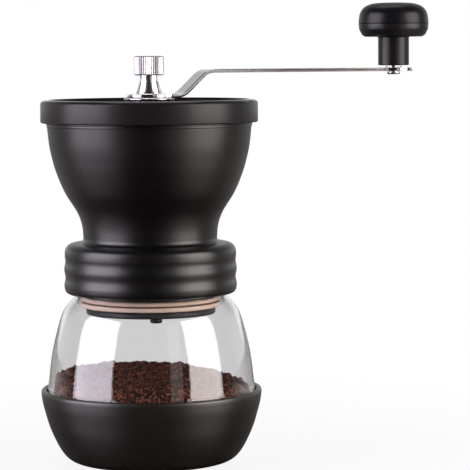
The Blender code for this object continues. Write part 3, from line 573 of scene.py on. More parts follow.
def boot_shell():
    """The soft cup that the jar stands in, open at the top."""
    outer = boot_outline()
    inner = [p for p in inset(outer, BOOT_WALL) if BOOT_FLOOR + 1.0 < p[1] < boot_h - 2.0]
    lip_in = boot_rim_r - BOOT_WALL
    profile = [(0, BOOT_FLOOR), (inner[-1][0] - 1.6, BOOT_FLOOR), *inner[::-1], (lip_in, boot_h - 1.4),
               (lip_in, boot_h, 0.9), (boot_rim_r, boot_h, 0.9), *outer, (0, 0)]
    fit(turned("boot_shell", profile, FINE), boot_rubber, "base_boot")


def jar_outline():
    """The jar's outer side from its neck's foot down to its base, a gap inside the boot."""
    low, high = (boot_rim_r - BOOT_WALL - GAP, boot_h), (NECK_R, NECK_FOOT_Z)
    shape = [(1 - h, r) for h, r in JAR_SIDE]
    shoulder = spline([(high[0] + r * (low[0] - high[0]), low[1] + h * (high[1] - low[1]))
                       for h, r in shape])
    held = [p for p in inset(boot_outline(), BOOT_WALL + GAP)
            if foot("glass_jar") + 1.5 < p[1] < boot_h - 3]
    return shoulder + held


def thread(turn, r, z):
    """The raised helix round the jar's neck, fading out at both ends."""
    if r < NECK_R - 0.4:
        return r
    rise = THREAD_LAPS * THREAD_PITCH
    start = top("glass_jar") - 2.2 - rise
    for lap in range(2):
        share = (turn / (2 * pi) + lap) / THREAD_LAPS
        off = abs(z - start - rise * share) / THREAD_HALF_W
        if share <= 1 and off < 1:
            fade = min(1.0, 6 * share, 6 * (1 - share))
            return r + THREAD_DEPTH * fade * min(1.0, 1.6 * (1 - off))
    return r


def jar():
    """The jar, with its thick base and its threaded neck."""
    base, rim = foot("glass_jar"), top("glass_jar")
    outer = jar_outline()
    neck_in = NECK_R - JAR_WALL
    inner = [p for p in inset(outer, JAR_WALL) if base + JAR_WALL + 1.5 < p[1] < NECK_FOOT_Z - 0.5]
    step = 0.4
    neck = [(NECK_R, rim - 1.0 - step * i) for i in range(int((rim - 1.0 - NECK_FOOT_Z) / step))]
    profile = [(0, base + JAR_WALL), (inner[-1][0] - 2.2, base + JAR_WALL), *inner[::-1],
               (neck_in, NECK_FOOT_Z + 0.5, 0.4), (neck_in, rim, 0.7), (NECK_R, rim, 0.7), *neck, *outer,
               (outer[-1][0] - 2.0, base, 0.8), (0, base)]
    fit(turned("jar", profile, FINE, ripple=thread, sharp=50), jar_glass, "glass_jar")


HEAP_DROP = 2.8
HEAP_SLOPE = 4.8
HEAP_LEAN = 2.7
HEAP_LUMPS = 1.3
HEAP_GRIT = 0.95
HEAP_SIDE_TOP = 37.0  # the heap follows the glass up to here
HEAP_STEPS = 180
HEAP_RINGS = 40
CRUMBS = 2600


def heap_height(x, y, wall):
    """The coffee's top surface: a low heap that leans to one side and has soft lumps and grit."""
    ceiling = top("ground_coffee")
    away = sqrt(x * x + y * y) / wall
    lumps = HEAP_LUMPS * noise.fractal(Vector((x / 9, y / 9, 0.7)), 0.8, 2.0, 4)
    grit = HEAP_GRIT * noise.fractal(Vector((x / 2.4, y / 2.4, 4.1)), 0.8, 2.0, 3)
    lean = HEAP_LEAN * x / wall * away
    return min(ceiling - HEAP_DROP - HEAP_SLOPE * away**2 - lean + lumps + grit, ceiling)


def coffee():
    """The grounds: a solid with a lumpy top and sides, under a scatter of crumbs."""
    wall = [p for p in inset(jar_outline(), JAR_WALL + GAP)
            if foot("glass_jar") + 4 < p[1] < HEAP_SIDE_TOP]
    base = foot("ground_coffee")
    turns = [2 * pi * k / HEAP_STEPS for k in range(HEAP_STEPS)]
    verts, faces, rings = [], [], []

    def level(points):
        rings.append(range(len(verts), len(verts) + HEAP_STEPS))
        verts.extend(points)

    top_r = wall[0][0] - 0.15
    for i in range(1, HEAP_RINGS + 1):
        r = top_r * i / HEAP_RINGS
        level([(r * cos(t), r * sin(t), heap_height(r * cos(t), r * sin(t), top_r)) for t in turns])
    edge = [verts[v][2] for v in rings[-1]]
    for r, z in wall[::2]:
        ripples = [0.18 * noise.noise(Vector((r * cos(t), r * sin(t), z)) / 1.1) for t in turns]
        below = 0.3 + 0.02 * (HEAP_SIDE_TOP - z)
        level([((r - 0.2 + ripple) * cos(t), (r - 0.2 + ripple) * sin(t), min(z, lip - below))
               for t, ripple, lip in zip(turns, ripples, edge)])
    level([(x, y, base) for x, y in circle(wall[-1][0] - 2.6, HEAP_STEPS)])
    nexts = [(k + 1) % HEAP_STEPS for k in range(HEAP_STEPS)]
    for a, b in zip(rings, rings[1:]):
        faces += [(a[k], b[k], b[j], a[j]) for k, j in enumerate(nexts)]
    verts.append((0, 0, heap_height(0.0, 0.0, top_r)))
    verts.append((0, 0, base))
    for k, j in enumerate(nexts):
        faces.append((len(verts) - 2, rings[0][k], rings[0][j]))
        faces.append((len(verts) - 1, rings[-1][j], rings[-1][k]))
    fit(finished("coffee_heap", verts, faces, 60), grounds, "ground_coffee")
    crumbs(top_r)


def crumbs(wall):
    """Loose crumbs on the heap, each an uneven small solid."""
    pick = np.random.RandomState(7)
    seed = bmesh.new()
    bmesh.ops.create_icosphere(seed, subdivisions=1, radius=1.0)
    shape = np.array([v.co for v in seed.verts])
    sides = [[v.index for v in f.verts] for f in seed.faces]
    seed.free()
    verts, faces = [], []
    ceiling = top("ground_coffee")
    for _ in range(CRUMBS):
        away = (wall - 1.2) * sqrt(pick.rand())
        turn = 2 * pi * pick.rand()
        x, y = away * cos(turn), away * sin(turn)
        size = 0.4 + 0.8 * pick.rand() ** 2
        z = min(heap_height(x, y, wall) + 0.25 * size, ceiling - size)
        lump = shape * size * (0.7 + 0.6 * pick.rand(len(shape), 1)) * (1.0, 0.8, 0.7)
        faces += [[i + len(verts) for i in face] for face in sides]
        verts += [tuple(p) for p in lump @ np.array(Matrix.Rotation(turn * 5, 3, "Z")) + (x, y, z)]
    fit(finished("coffee_crumbs", verts, faces, 20), grounds, "ground_coffee")


# The hopper body and what is fixed in it

SKIRT_DROP = 6.1
COLLAR_H = 21.0
COLLAR_WALL = 3.8
RIB_DEPTH = 0.5
RIBS = 3
RIB_STEPS = 72
WAIST_LIFT = 2.6
WAIST_R = 28.8
BAND_DROP = 5.4
BOWL_WALL = 2.6
SKIRT_WALL = 4.6
THROAT_R = 18.5
BOSS_LIFT = 6.5
BOSS_H = 12.0
BOSS_WALL = 2.8
BOWL_SIDE = ((0, 0), (0.1, 0.025), (0.18, 0.09), (0.25, 0.19), (0.325, 0.34), (0.395, 0.48),
             (0.47, 0.595), (0.54, 0.685), (0.61, 0.765), (0.68, 0.83), (0.82, 0.93), (1, 0.995))
skirt_z = foot("hopper_body")
collar_z = skirt_z + SKIRT_DROP
collar_top_z = collar_z + COLLAR_H
collar_r = NECK_R + THREAD_DEPTH + GAP + COLLAR_WALL
waist_z = collar_top_z + WAIST_LIFT
rim_z = top("hopper_body")
band_z = rim_z - BAND_DROP
bowl_r = reach("hopper_body") - 0.2
ceiling_z = top("rim_seal") + GAP
boss_z = ceiling_z + BOSS_LIFT
burr_r = reach("outer_burr")


def collar_ribs():
    """The collar's soft ribs, from below its shoulder to above its lower edge."""
    shares = [i / RIB_STEPS for i in range(1, RIB_STEPS)]
    ribs = [(collar_r - RIB_DEPTH * (1 + cos(2 * pi * RIBS * share)) / 2, collar_top_z - COLLAR_H * share)
            for share in shares]
    return [p for p in ribs if collar_z + 3.3 < p[1] < collar_top_z - 5.2]


def hopper():
    """One shell: bowl, waist, ribbed collar for the jar, skirt round the burr, and the bean funnel."""
    bowl = side(BOWL_SIDE, (WAIST_R, waist_z), (bowl_r, band_z))[::-1]
    bore = NECK_R + THREAD_DEPTH + GAP
    skirt_in = burr_r + GAP
    skirt_r = skirt_in + SKIRT_WALL
    throat_z = top("outer_burr") + GAP
    funnel = [p for p in inset(bowl, BOWL_WALL) if p[1] > boss_z + 6.0][::-1]
    profile = [(bowl_r, rim_z, 0.4), (bowl_r, band_z + 1.2), (bowl_r + 0.2, band_z + 1.0, 0.2),
               (bowl_r + 0.2, band_z + 0.2, 0.2), *bowl, (WAIST_R + 0.6, collar_top_z + 0.9, 1.4),
               (collar_r - 0.35, collar_top_z + 0.2, 4.0), *collar_ribs(),
               (collar_r - 0.4, collar_z, 2.4), (bore, collar_z, 0.3), (bore, ceiling_z),
               (skirt_r, ceiling_z, 0.4), (skirt_r, skirt_z, 0.4), (skirt_in, skirt_z, 0.2),
               (skirt_in, throat_z), (THROAT_R, throat_z), (THROAT_R, ceiling_z, 1.5),
               (THROAT_R + 2.0, waist_z - 1.0), (WAIST_R - BOWL_WALL - 2.6, waist_z + 3.5, 3.0),
               *funnel, (bowl_r - BOWL_WALL, rim_z, 0.4)]
    fit(turned("hopper_shell", profile, FINE, sharp=40), hopper_plastic, "hopper_body")


def boss():
    """The sleeve that holds the upper bush, on three arms across the funnel."""
    outer = reach("upper_bush") + 0.8
    inner, high = outer - BOSS_WALL, boss_z + BOSS_H
    sleeve = [(outer, high, 0.6), (outer, boss_z, 0.6), (inner, boss_z), (inner, high)]
    fit(turned("spindle_boss", sleeve), hopper_plastic, "hopper_body")
    start, end, half = inner + 1.6, WAIST_R - 0.5, 1.6
    for i in range(3):
        beam = plate(f"boss_arm_{i + 1}", [[(start, -half), (end, -half), (end, half), (start, half)]],
                     waist_z + 1.6, waist_z + 9.1, 0.5)
        beam.data.transform(Matrix.Rotation(2 * pi * (i + 0.5) / 3, 4, "Z"))
        fit(polished(beam, 40), hopper_plastic, "hopper_body")


def neck_gasket():
    """The flat ring that the jar's rim is screwed up against."""
    made = ring("neck_gasket", NECK_R - JAR_WALL - 0.2, reach("rim_seal"), foot("rim_seal"),
                top("rim_seal"), FINE, edge=0.25)
    fit(made, grey_silicone, "rim_seal")


def skirt_seal():
    """Two soft lips round the skirt, with a brown ring between them as painted shade in their groove."""
    low, high, outer = foot("skirt_seal"), top("skirt_seal"), reach("skirt_seal")
    inner, middle = outer - 2.3, (low + high) / 2
    lips = [(outer, high, 0.7), (outer, middle + 0.35, 0.2), (outer - 0.8, middle, 0.1),
            (outer, middle - 0.35, 0.2), (outer, low, 0.7), (inner, low), (inner, high)]
    fit(turned("skirt_lips", lips, FINE), tan_silicone, "skirt_seal")
    # Painted shade: a brown ring in the groove between the lips, darker than the lips.
    fit(ring("groove_shade_ring", inner + 0.5, outer - 0.15, middle - 0.3, middle + 0.3, FINE, edge=0.05),
        painted_groove_shade, "skirt_seal")


def retainer():
    """The flanged ring that holds the fixed burr up in the skirt."""
    low, high = foot("burr_retainer"), top("burr_retainer")
    flange = skirt_z - GAP
    wide, hole = reach("burr_retainer"), 19.7
    profile = [(burr_r, high, 0.2), (burr_r, flange, 0.3), (wide, flange, 0.3), (wide, low, 0.9),
               (hole, low, 0.8), (hole, high, 0.2)]
    fit(turned("retainer_ring", profile, FINE), inner_plastic, "burr_retainer")


SCREW_HEAD_H = 1.5
SLOT_HALF_W = 0.35
SLOT_DEPTH = 0.6


def retainer_screws():
    """Three pan-head screws, each slot cut out of its head."""
    for i in range(3):
        node = f"retainer_screw_{i + 1}"
        middle = (BOX[node][0] + BOX[node][1]) / 2
        low, high = foot(node), top(node)
        head = low + SCREW_HEAD_H
        profile = [(0, high), (1.3, high, 0.2), (1.3, head), (2.5, head, 0.1), (2.5, low, 0.8), (0, low)]
        screw = turned(f"pan_screw_{i + 1}", profile, 48)
        bar = [(-4, -SLOT_HALF_W), (4, -SLOT_HALF_W), (4, SLOT_HALF_W), (-4, SLOT_HALF_W)]
        slot = plate(f"slot_{i + 1}", [bar], low - 2, low + SLOT_DEPTH, 0.02)
        bpy.context.scene.collection.objects.link(slot)
        cut = screw.modifiers.new("slot", "BOOLEAN")
        cut.operation = "DIFFERENCE"
        cut.solver = "EXACT"
        cut.object = slot
        screw.data.name = f"plain_screw_{i + 1}"
        cut_screw = as_mesh(screw)
        bpy.data.objects.remove(slot, do_unlink=True)
        cut_screw.data.transform(Matrix.Translation((middle.x * MM, middle.y * MM, 0)))
        fit(polished(cut_screw), black_steel, node)


def burr_level(radius, z, teeth, depth, twist, per, curve=1.0):
    """One level of a burr, per points to a tooth: each tooth is cut back slowly and steps out quickly."""
    count = teeth * per
    points = []
    for i in range(count):
        cut = ((i % per) / (per - 1)) ** curve
        turn = 2 * pi * i / count + twist
        points.append(((radius - depth * cut) * cos(turn), (radius - depth * cut) * sin(turn), z))
    return points


def fixed_burr():
    """The outer burr: a ring with fine teeth in its bore, which narrows upward."""
    low, high = foot("outer_burr"), top("outer_burr")
    mouth_r, taper, teeth, per = 19.3, 2.5, 24, 8
    cut = [burr_level(mouth_r - taper * t, low + (high - low) * t, teeth, 0.5, 0.25 * t, per)
           for t in (1.0, 0.8, 0.6, 0.4, 0.2, 0.0)]
    plain = [[(x, y, z) for x, y in circle(burr_r - bevel, teeth * per)]
             for z, bevel in ((low, 0.4), (low + 0.4, 0.0), (high - 0.4, 0.0), (high, 0.4))]
    fit(toothed("fixed_burr", cut, plain), burr_ceramic, "outer_burr")


def cone_burr():
    """The inner burr: a cone whose coarse upper teeth run out into fine ones at its foot."""
    low, high = foot("inner_burr"), top("inner_burr")
    bore, teeth, per = 5.2, 12, 14
    # share of the height, radius, depth of the teeth
    steps = ((0.0, 17.9, 0.35), (0.05, 18.2, 0.5), (0.2, 17.6, 0.7), (0.4, 15.9, 1.0), (0.55, 14.6, 1.2),
             (0.7, 13.3, 1.4), (0.85, 12.0, 1.6), (0.95, 10.2, 1.2), (1.0, 9.0, 0.8))
    cut = [burr_level(r, low + (high - low) * t, teeth, depth, 0.7 * t, per, 1.3)
           for t, r, depth in steps]
    plain = [[(x, y, z) for x, y in circle(bore, teeth * per)] for z in (high, low)]
    fit(toothed("cone_burr", cut, plain), burr_ceramic, "inner_burr")


BUSH_R = 5.5
FLANGE_T = 1.2


def bushes():
    """Two flanged bearings for the spindle: the lower flange faces down and the upper one up."""
    bore = 4.3
    for node, name, flange_up in (("lower_bush", "bottom_bush", False), ("upper_bush", "top_bush", True)):
        low, high, wide = foot(node), top(node), reach(node)
        if flange_up:
            profile = [(wide, high, 0.2), (wide, high - FLANGE_T, 0.2), (BUSH_R, high - FLANGE_T),
                       (BUSH_R, low, 0.2)]
        else:
            profile = [(BUSH_R, high, 0.2), (BUSH_R, low + FLANGE_T), (wide, low + FLANGE_T, 0.2),
                       (wide, low, 0.2)]
        fit(turned(name, profile + [(bore, low, 0.3), (bore, high, 0.3)]), bush_bronze, node)


# The spindle and what turns with it

HEX_AF = 5.2
THREAD_R = 2.5
SCREW_PITCH = 0.8
SCREW_DEPTH = 0.28
SHAFT_R = 3.3
SPINDLE_R = 4.0
FLAT_X = 3.45
KEY_BELOW_BUSH = 0.7
KEY_ABOVE_PLATE = 8.0
NUT_AF = 8.0


def spindle():
    """The turned shaft and its two hexagons, one for the crank and one for the cone."""
    low, high = foot("spindle"), top("spindle")
    shoulder = foot("spring_washer")
    key_low, key_high = top("upper_bush") - KEY_BELOW_BUSH, top("lock_plate") + KEY_ABOVE_PLATE
    seat = foot("crank_seat") - GAP
    screw_low, screw_high = foot("burr_washer") + 0.4, seat + 4.4

    def worked(turn, r, z):
        """Threads at both ends and the flat that keys the washers."""
        on_screw = z > screw_high + 0.2 or z < screw_low
        if THREAD_R - 0.3 < r < THREAD_R + 0.01 and on_screw:
            wave = (z / SCREW_PITCH - turn / (2 * pi)) % 1.0
            return r - SCREW_DEPTH * abs(2 * wave - 1)
        if r > SHAFT_R and key_low < z < key_high and cos(turn) > 0:
            return min(r, FLAT_X / cos(turn))
        return r

    def run(r, start, end):
        """Points close enough together to carry a thread."""
        count = max(2, int(abs(end - start) / (SCREW_PITCH / 4)))
        return [(r, start + (end - start) * i / count) for i in range(count + 1)]

    profile = [(0, high), (THREAD_R - 0.4, high), *run(THREAD_R, high - 0.5, screw_high),
               (THREAD_R, seat), (SHAFT_R, seat), (SHAFT_R, key_high), (SPINDLE_R, key_high - 0.02),
               (SPINDLE_R, key_low + 0.02), (SPINDLE_R, key_low - 0.02), (SPINDLE_R, shoulder),
               (THREAD_R, shoulder), *run(THREAD_R, screw_low, low + 0.5),
               (THREAD_R - 0.5, low), (0, low)]
    fit(turned("spindle_shaft", profile, 72, ripple=worked), plated_steel, "spindle")
    for name, start, end in (("crank_hex", seat - 1.0, top("crank_seat") + GAP + 2.3),
                             ("burr_hex", foot("burr_carrier"), shoulder + 0.5)):
        prism = plate(name, [circle(HEX_AF / sqrt(3), 6, radians(15))], start, end, 0.2)
        fit(polished(prism, 20), plated_steel, "spindle")


def cone_hub():
    """The sleeve and flange that carry the cone."""
    low, high, wide = foot("burr_carrier"), top("burr_carrier"), reach("burr_carrier")
    sleeve_r, bore, flange = 4.9, 3.35, low + 1.6
    profile = [(sleeve_r, high, 0.3), (sleeve_r, flange), (wide, flange, 0.3), (wide, low, 0.5),
               (bore, low), (bore, high)]
    fit(turned("cone_hub", profile), inner_plastic, "burr_carrier")


def washers():
    """The flat washers above the cone's nut and under the spring."""
    for node, name, bore in (("burr_washer", "nut_washer", 2.8), ("spring_washer", "spring_seat", 4.3)):
        fit(ring(name, bore, reach(node), foot(node), top(node)), plated_steel, node)


def cone_nut():
    """The hexagon nut that holds the cone on the spindle."""
    outlines = [circle(NUT_AF / sqrt(3), 6, radians(15)), circle(2.8, 32)]
    made = plate("cone_nut", outlines, foot("burr_nut"), top("burr_nut"), 0.35)
    fit(polished(made, 25), plated_steel, "burr_nut")


def spring():
    """The burr spring, handed the drive washer's body as its anchor, which turns with the spindle but
    doesn't slide. The spring itself rides with no body and keeps its place as the spindle goes down."""
    wire = 0.6
    made = coil("cone_spring", 5.3, wire, foot("burr_spring") + wire, top("burr_spring") - wire, 3.0)
    fit(made, spring_steel, "burr_spring", anchor=BODY_OF["drive_washer"])


def keyed_plates():
    """The thrust washer and the locking plate, whose D-shaped holes fit the flat on the spindle."""
    hole_r, flat = SPINDLE_R + GAP, FLAT_X + GAP
    half = atan2(sqrt(hole_r**2 - flat**2), flat)
    turns = [half + (2 * pi - 2 * half) * i / 40 for i in range(41)]
    keyed = [(hole_r * cos(turn), hole_r * sin(turn)) for turn in turns]
    washer = plate("thrust_washer", [circle(reach("drive_washer"), SMALL), keyed],
                   foot("drive_washer"), top("drive_washer"))
    fit(polished(washer, 25), plated_steel, "drive_washer")
    locking = plate("locking_plate", [lobed(reach("lock_plate"), 1.2, 6), keyed],
                    foot("lock_plate"), top("lock_plate"))
    fit(polished(locking, 25), plated_steel, "lock_plate")


def hand_nut():
    """The adjusting nut, notched to be turned by hand."""
    outlines = [lobed(reach("adjusting_nut"), 0.9, 12), circle(4.3, 48)]
    made = plate("hand_nut", outlines, foot("adjusting_nut"), top("adjusting_nut"), 0.35)
    fit(polished(made, 25), nut_brass, "adjusting_nut")


def lobed(radius, depth, lobes, per=12):
    """A round outline with soft notches."""
    points = []
    for i in range(lobes * per):
        share = (i % per) / per
        notch = max(0.0, min(1.0, 4.5 * (0.5 - abs(share - 0.62) * 2)))
        turn = 2 * pi * i / (lobes * per)
        points.append(((radius - depth * notch) * cos(turn), (radius - depth * notch) * sin(turn)))
    return points


# The lid, the crank and its knob

def lid():
    """The dished cap over the bowl, with a soft shoulder outside and a glossier inner edge."""
    low, high, wide = foot("lid"), top("lid"), reach("lid")
    inner = bowl_r + 0.5
    under = rim_z + GAP
    dish = under + 2.3
    hole = reach("crank_seat") + 0.7
    profile = [(wide, high, 2.0), (wide, low, 0.7), (inner, low, 0.3), (inner, under, 0.3),
               (hole, under, 0.3), (hole, dish, 0.5), (inner - 3.0, dish, 1.6), (inner - 1.2, high, 0.3)]
    height = lid_plastic.height(lid_plastic.place)
    lid_plastic.paint(Roughness=lid_plastic.spread(height, (high - 1.0) * MM, (high - 0.4) * MM,
                                                   LID_ROUGHNESS, LID_EDGE_ROUGHNESS))
    fit(turned("lid_cap", profile, FINE), lid_plastic, "lid")


def seat():
    """The bright dished disc under the crank."""
    low, high, wide = foot("crank_seat"), top("crank_seat"), reach("crank_seat")
    bore = 3.35
    profile = [(wide, high, 0.25), (wide - 0.5, high - 0.9, 0.4), (wide - 2.6, low, 0.3), (bore, low),
               (bore, high)]
    fit(turned("crank_saucer", profile, 96), bright_steel, "crank_seat")


STRIP_T = 1.5
STRIP_W = 14.0
HUB_R = 9.4
KNOB_EYE_R = 8.4
FILLET = 8.0
SLOPE = radians(44)
BEND_X = 13.6
BEND_R = 7.0


def eye(radius):
    """Half of a round end with its fillet into the strip, from the strip out to the tip."""
    half = STRIP_W / 2
    away = sqrt((radius + FILLET)**2 - (half + FILLET)**2)
    meet = atan2(half + FILLET, away)
    fillet = [(away + FILLET * cos(t), half + FILLET + FILLET * sin(t))
              for t in (-pi / 2 + (meet - pi / 2) * i / 10 for i in range(11))]
    round_end = [(radius * cos(t), radius * sin(t))
                 for t in (meet + (pi - meet) * i / 26 for i in range(1, 27))]
    return fillet + round_end


def crank():
    """The strip is cut flat, then bent up the slope: its length along the bends stays as cut."""
    low, high = foot("crank_arm"), top("crank_arm")
    rise = high - low - STRIP_T
    knob_x = centre_x("knob_dome")
    turn_l = BEND_R * SLOPE
    start = BEND_X - BEND_R * tan(SLOPE / 2)
    slope_l = (rise - 2 * BEND_R * (1 - cos(SLOPE))) / sin(SLOPE)
    s1, s2 = start, start + turn_l
    s3, s4 = s2 + slope_l, s2 + slope_l + turn_l

    def bent(s, y, n):
        """The place of a point s along the strip, y across it and n above its middle."""
        if s < s1:
            x, z, lean = s, 0.0, 0.0
        elif s < s2:
            lean = (s - s1) / BEND_R
            x, z = s1 + BEND_R * sin(lean), BEND_R * (1 - cos(lean))
        else:
            x2, z2 = s1 + BEND_R * sin(SLOPE), BEND_R * (1 - cos(SLOPE))
            x3, z3 = x2 + (s3 - s2) * cos(SLOPE), z2 + (s3 - s2) * sin(SLOPE)
            if s < s3:
                lean = SLOPE
                x, z = x2 + (s - s2) * cos(SLOPE), z2 + (s - s2) * sin(SLOPE)
            else:
                lean = max(SLOPE - (s - s3) / BEND_R, 0.0)
                x = x3 + BEND_R * (sin(SLOPE) - sin(lean))
                z = z3 + BEND_R * (cos(lean) - cos(SLOPE))
                x += max(s - s4, 0.0)
        return (x - n * sin(lean), y, low + STRIP_T / 2 + z + n * cos(lean))

    stretch = bent(s4, 0, 0)[0] - s4
    knob_s = knob_x - stretch
    upper = eye(HUB_R)[::-1] + [(knob_s - x, y) for x, y in eye(KNOB_EYE_R)]
    outline = upper + [(x, -y) for x, y in upper[-2:0:-1]]
    socket = circle((HEX_AF + 2 * GAP) / sqrt(3), 6, radians(15))
    pin_hole = [(knob_s + x, y) for x, y in circle(2.3, 32)]
    strip = plate("crank_strip", [outline, socket, pin_hole], -STRIP_T / 2, STRIP_T / 2, 0.28)
    cage = bmesh.new()
    cage.from_mesh(strip.data)
    bends = [s1 + turn_l * i / 9 for i in range(10)] + [s3 + turn_l * i / 9 for i in range(10)]
    along = [12 * i for i in range(3, 10)]
    for s in bends + along:
        everything = cage.verts[:] + cage.edges[:] + cage.faces[:]
        bmesh.ops.bisect_plane(cage, geom=everything, plane_co=(s * MM, 0, 0), plane_no=(1, 0, 0))
    for v in cage.verts:
        v.co = Vector(bent(*(c / MM for c in v.co))) * MM
    cage.to_mesh(strip.data)
    cage.free()
    fit(polished(strip, 30), strip_steel, "crank_arm")


def cap():
    """The nut that holds the crank: a knurled head on a flared cone."""
    low, high = foot("cap_nut"), top("cap_nut")
    head_z, wide = high - CAP_HEAD_H, reach("cap_nut")
    neck_z = head_z - 2.0

    def knurl(turn, r, z):
        if r < wide - 0.6 or not head_z + 0.3 < z < high - 0.3:
            return r
        wave = abs(2 * ((turn * KNURLS / (2 * pi)) % 1.0) - 1)
        return r - KNURL_DEPTH * wave

    cone = spline([(4.0, head_z), (4.0, neck_z), (4.45, neck_z - 1.8), (5.25, low + 1.4), (5.8, low)], 8)
    grip = [(wide, high - 0.55 - (high - head_z - 1.1) * i / 6) for i in range(7)]
    bore, bore_end = 2.8, top("spindle") + GAP
    profile = [(0, high), (wide - 1.2, high), (wide - 0.5, high - 0.12), *grip, (wide - 0.5, head_z),
               *cone, (3.3, low), (3.3, low + 0.8), (bore, low + 0.8), (bore, bore_end), (0, bore_end)]
    fit(turned("crank_cap", profile, KNURLS * 6, ripple=knurl), knurled_steel, "cap_nut")


def knob_stem():
    """The knob's stem and lower half, hollow round the rivet's head."""
    x = centre_x("knob_base")
    low, high = foot("knob_base"), top("knob_base")
    wide, stem_r = reach("knob_base"), 6.85
    band = high - 5.7
    bore, head_r, hollow_r = 2.3, 4.7, 10.5
    head_z, hollow_z = band - 1.9, band + 2.6
    profile = [(wide, high, 0.15), (wide - 0.3, high - 2.4, 1.5), (wide - 1.6, band + 0.8, 1.2),
               (wide - 2.9, band, 0.8), (stem_r, band, 0.5), (stem_r, low, 0.5), (bore, low, 0.2),
               (bore, head_z), (head_r, head_z), (head_r, hollow_z), (hollow_r, hollow_z),
               (hollow_r, high)]
    fit(turned("knob_stem", profile, 96, x), knob_plastic, "knob_base")


def knob_crown():
    """The knob's domed upper half, with a ring below that plugs into the lower one."""
    x = centre_x("knob_dome")
    low, high, wide = foot("knob_dome"), top("knob_dome"), reach("knob_dome")
    rim = top("knob_base") + 0.05
    crown = spline([(0, high), (5.1, high - 0.05), (9.3, high - 0.45), (12.7, high - 1.8),
                    (wide - 0.8, high - 4.2), (wide - 0.1, high - 7.0), (wide, rim + 0.8)], 8)
    profile = crown + [(wide, rim + 0.2, 0.1), (wide - 0.2, rim, 0.1), (10.2, rim), (10.2, low),
                       (8.2, low), (8.2, rim + 3.0), (0, rim + 4.0)]
    fit(turned("knob_crown", profile, 96, x), dome_plastic, "knob_dome")


def knob_fixings():
    """The rivet that the knob spins on, and the washer between the knob and the strip."""
    x = centre_x("knob_pin")
    low, high = foot("knob_pin"), top("knob_pin")
    pin_r, head_low, tail_high = 2.0, high - 2.0, low + 1.2
    profile = [(0, high), (4.2, high, 0.4), (4.2, head_low, 0.2), (pin_r, head_low), (pin_r, tail_high),
               (2.9, tail_high, 0.1), (2.9, low, 0.8), (0, low)]
    fit(turned("rivet_pin", profile, 48, x), plated_steel, "knob_pin")
    fit(ring("stem_washer", 2.3, 3.6, foot("knob_washer"), top("knob_washer"), 48, x, 0.1),
        plated_steel, "knob_washer")


for build in (boot_shell, jar, coffee, hopper, boss, neck_gasket, skirt_seal, retainer, retainer_screws,
              fixed_burr, cone_burr, bushes, spindle, cone_hub, washers, cone_nut, spring, keyed_plates,
              hand_nut, lid, seat, crank, cap, knob_stem, knob_crown, knob_fixings):
    build()


# The studio, in metres. The camera looks along AHEAD, a little down.

AZIMUTH = radians(17)
AHEAD = Vector((sin(AZIMUTH), cos(AZIMUTH), 0.0))
RIGHT = Vector((cos(AZIMUTH), -sin(AZIMUTH), 0.0))
UP = Vector((0.0, 0.0, 1.0))
AWAY = 1.010
BESIDE = 0.0365
EYE_Z = 0.1771
PITCH = radians(4.5)
ROLL = radians(-0.34)
WHITE = (1.0, 1.0, 1.0)
PALE = (0.86, 0.86, 0.86)
ROOM_GLOW = 0.015
FILL_GLOW = 0.02


def camera():
    lens = bpy.data.cameras.new("camera")
    lens.lens = 180.0
    lens.sensor_width = 36.0
    lens.clip_start = 0.05
    made = bpy.data.objects.new("camera", lens)
    bpy.context.scene.collection.objects.link(made)
    look = AHEAD * cos(PITCH) - UP * sin(PITCH)
    turn = Matrix((RIGHT, RIGHT.cross(look), -look)).transposed().to_4x4()
    place = Matrix.Translation(-AWAY * AHEAD + BESIDE * RIGHT + EYE_Z * UP)
    made.matrix_world = place @ turn @ Matrix.Rotation(ROLL, 4, "Z")
    bpy.context.scene.camera = made


def softbox(name, azimuth, distance, height, width, tall, watts, colour):
    """An area light at an azimuth from the camera's side, positive to its right."""
    light = bpy.data.lights.new(name, "AREA")
    light.shape = "RECTANGLE"
    light.size = width
    light.size_y = tall
    light.energy = watts
    light.color = colour
    made = bpy.data.objects.new(name, light)
    bpy.context.scene.collection.objects.link(made)
    way = -AHEAD * cos(radians(azimuth)) + RIGHT * sin(radians(azimuth))
    made.location = way * distance + UP * height
    aim = UP * 0.1 - made.location
    made.rotation_euler = aim.to_track_quat("-Z", "Y").to_euler()


def straight_through(tree):
    """One for what is seen through glass, and nothing for light that has been on another surface."""
    unscattered = 1 - tree.ray("Diffuse Depth") - tree.ray("Glossy Depth")
    return tree.node("ShaderNodeMath", {"operation": "MULTIPLY", "use_clamp": True},
                     {0: tree.ray("Is Transmission Ray"), 1: unscattered})


def softboxes():
    """A large light at each side, a faint one in front and one above and behind."""
    softbox("left_softbox", -68, 1.1, 0.26, 1.05, 1.2, 27.0, (0.94, 0.89, 1.0))
    softbox("right_softbox", 66.5, 1.1, 0.26, 0.85, 1.2, 22.0, (1.0, 0.93, 0.9))
    softbox("front_card", 30, 1.05, 0.2, 0.26, 0.9, 0.44, WHITE)
    softbox("top_softbox", 180, 0.35, 1.25, 0.8, 0.6, 3.0, WHITE)


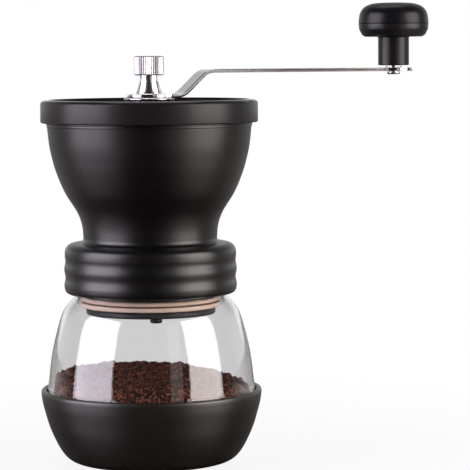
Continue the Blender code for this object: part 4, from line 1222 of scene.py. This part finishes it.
def pale_floor():
    """White where it is seen, with a faint shade round the foot; darker where it is mirrored, where
    painted light makes it near black ahead of the object and lighter and warmer toward its sides.
    """
    made = Finish("pale_floor", PALE, 0.28, Specular_IOR_Level=1.0)
    across = made.node("ShaderNodeVectorMath", {"operation": "DOT_PRODUCT"},
                       {0: made.place, 1: tuple(RIGHT)}, "Value")
    beside = made.node("ShaderNodeMath", {"operation": "ABSOLUTE"}, {0: across})
    # Painted light for reflections: lighter and warmer away from the line of sight, as if the side lights
    # fell there.
    shaded = made.mix(made.spread(beside, 0.05, 0.3), (0.02, 0.014, 0.011), (0.42, 0.37, 0.34))
    made.paint(Base_Color=made.mix(made.ray("Is Glossy Ray"), PALE, shaded))
    away = made.node("ShaderNodeVectorMath", {"operation": "LENGTH"}, {0: made.place}, "Value")
    seen = made.ray("Is Camera Ray") + straight_through(made)
    made.lay_over(seen * made.spread(away, 0.06, 0.3, 0.87, 1.0),
                  made.node("ShaderNodeEmission", {}, {0: WHITE, 1: 1.0}))
    return made


FLOOR_HALF = 4000  # millimetres, as for the pieces
FLOOR_Z = -0.1


def floor():
    corners = [(x * FLOOR_HALF, y * FLOOR_HALF, FLOOR_Z) for x, y in ((-1, -1), (1, -1), (1, 1), (-1, 1))]
    made = finished("floor", corners, [(0, 1, 2, 3)])
    made.data.materials.append(pale_floor().material)


def surroundings():
    """White to the camera; a dim room with a pale backdrop to what shines; a soft fill otherwise."""
    world = bpy.data.worlds.new("studio")
    bpy.context.scene.world = world
    world.use_nodes = True
    tree = Tree(world.node_tree)
    way = tree.node("ShaderNodeTexCoord", output="Generated")
    behind = tree.node("ShaderNodeVectorMath", {"operation": "DOT_PRODUCT"},
                       {0: way, 1: tuple(AHEAD)}, "Value")
    backdrop = tree.spread(behind, 0.1, 0.75)
    glow = tree.spread(tree.height(way), 0.02, 0.4, 0.95, 0.42)
    camera_ray, glossy_ray = tree.ray("Is Camera Ray"), tree.ray("Is Glossy Ray")
    clear_ray = straight_through(tree)
    room = glossy_ray * (ROOM_GLOW + backdrop * glow) + (1 - glossy_ray) * FILL_GLOW
    level = camera_ray + (1 - camera_ray) * (clear_ray + (1 - clear_ray) * room)
    tree.feed(tree.nodes["Background"], {"Color": WHITE, "Strength": level})


camera()
softboxes()
floor()
surroundings()
bpy.context.scene.view_settings.view_transform = "Standard"
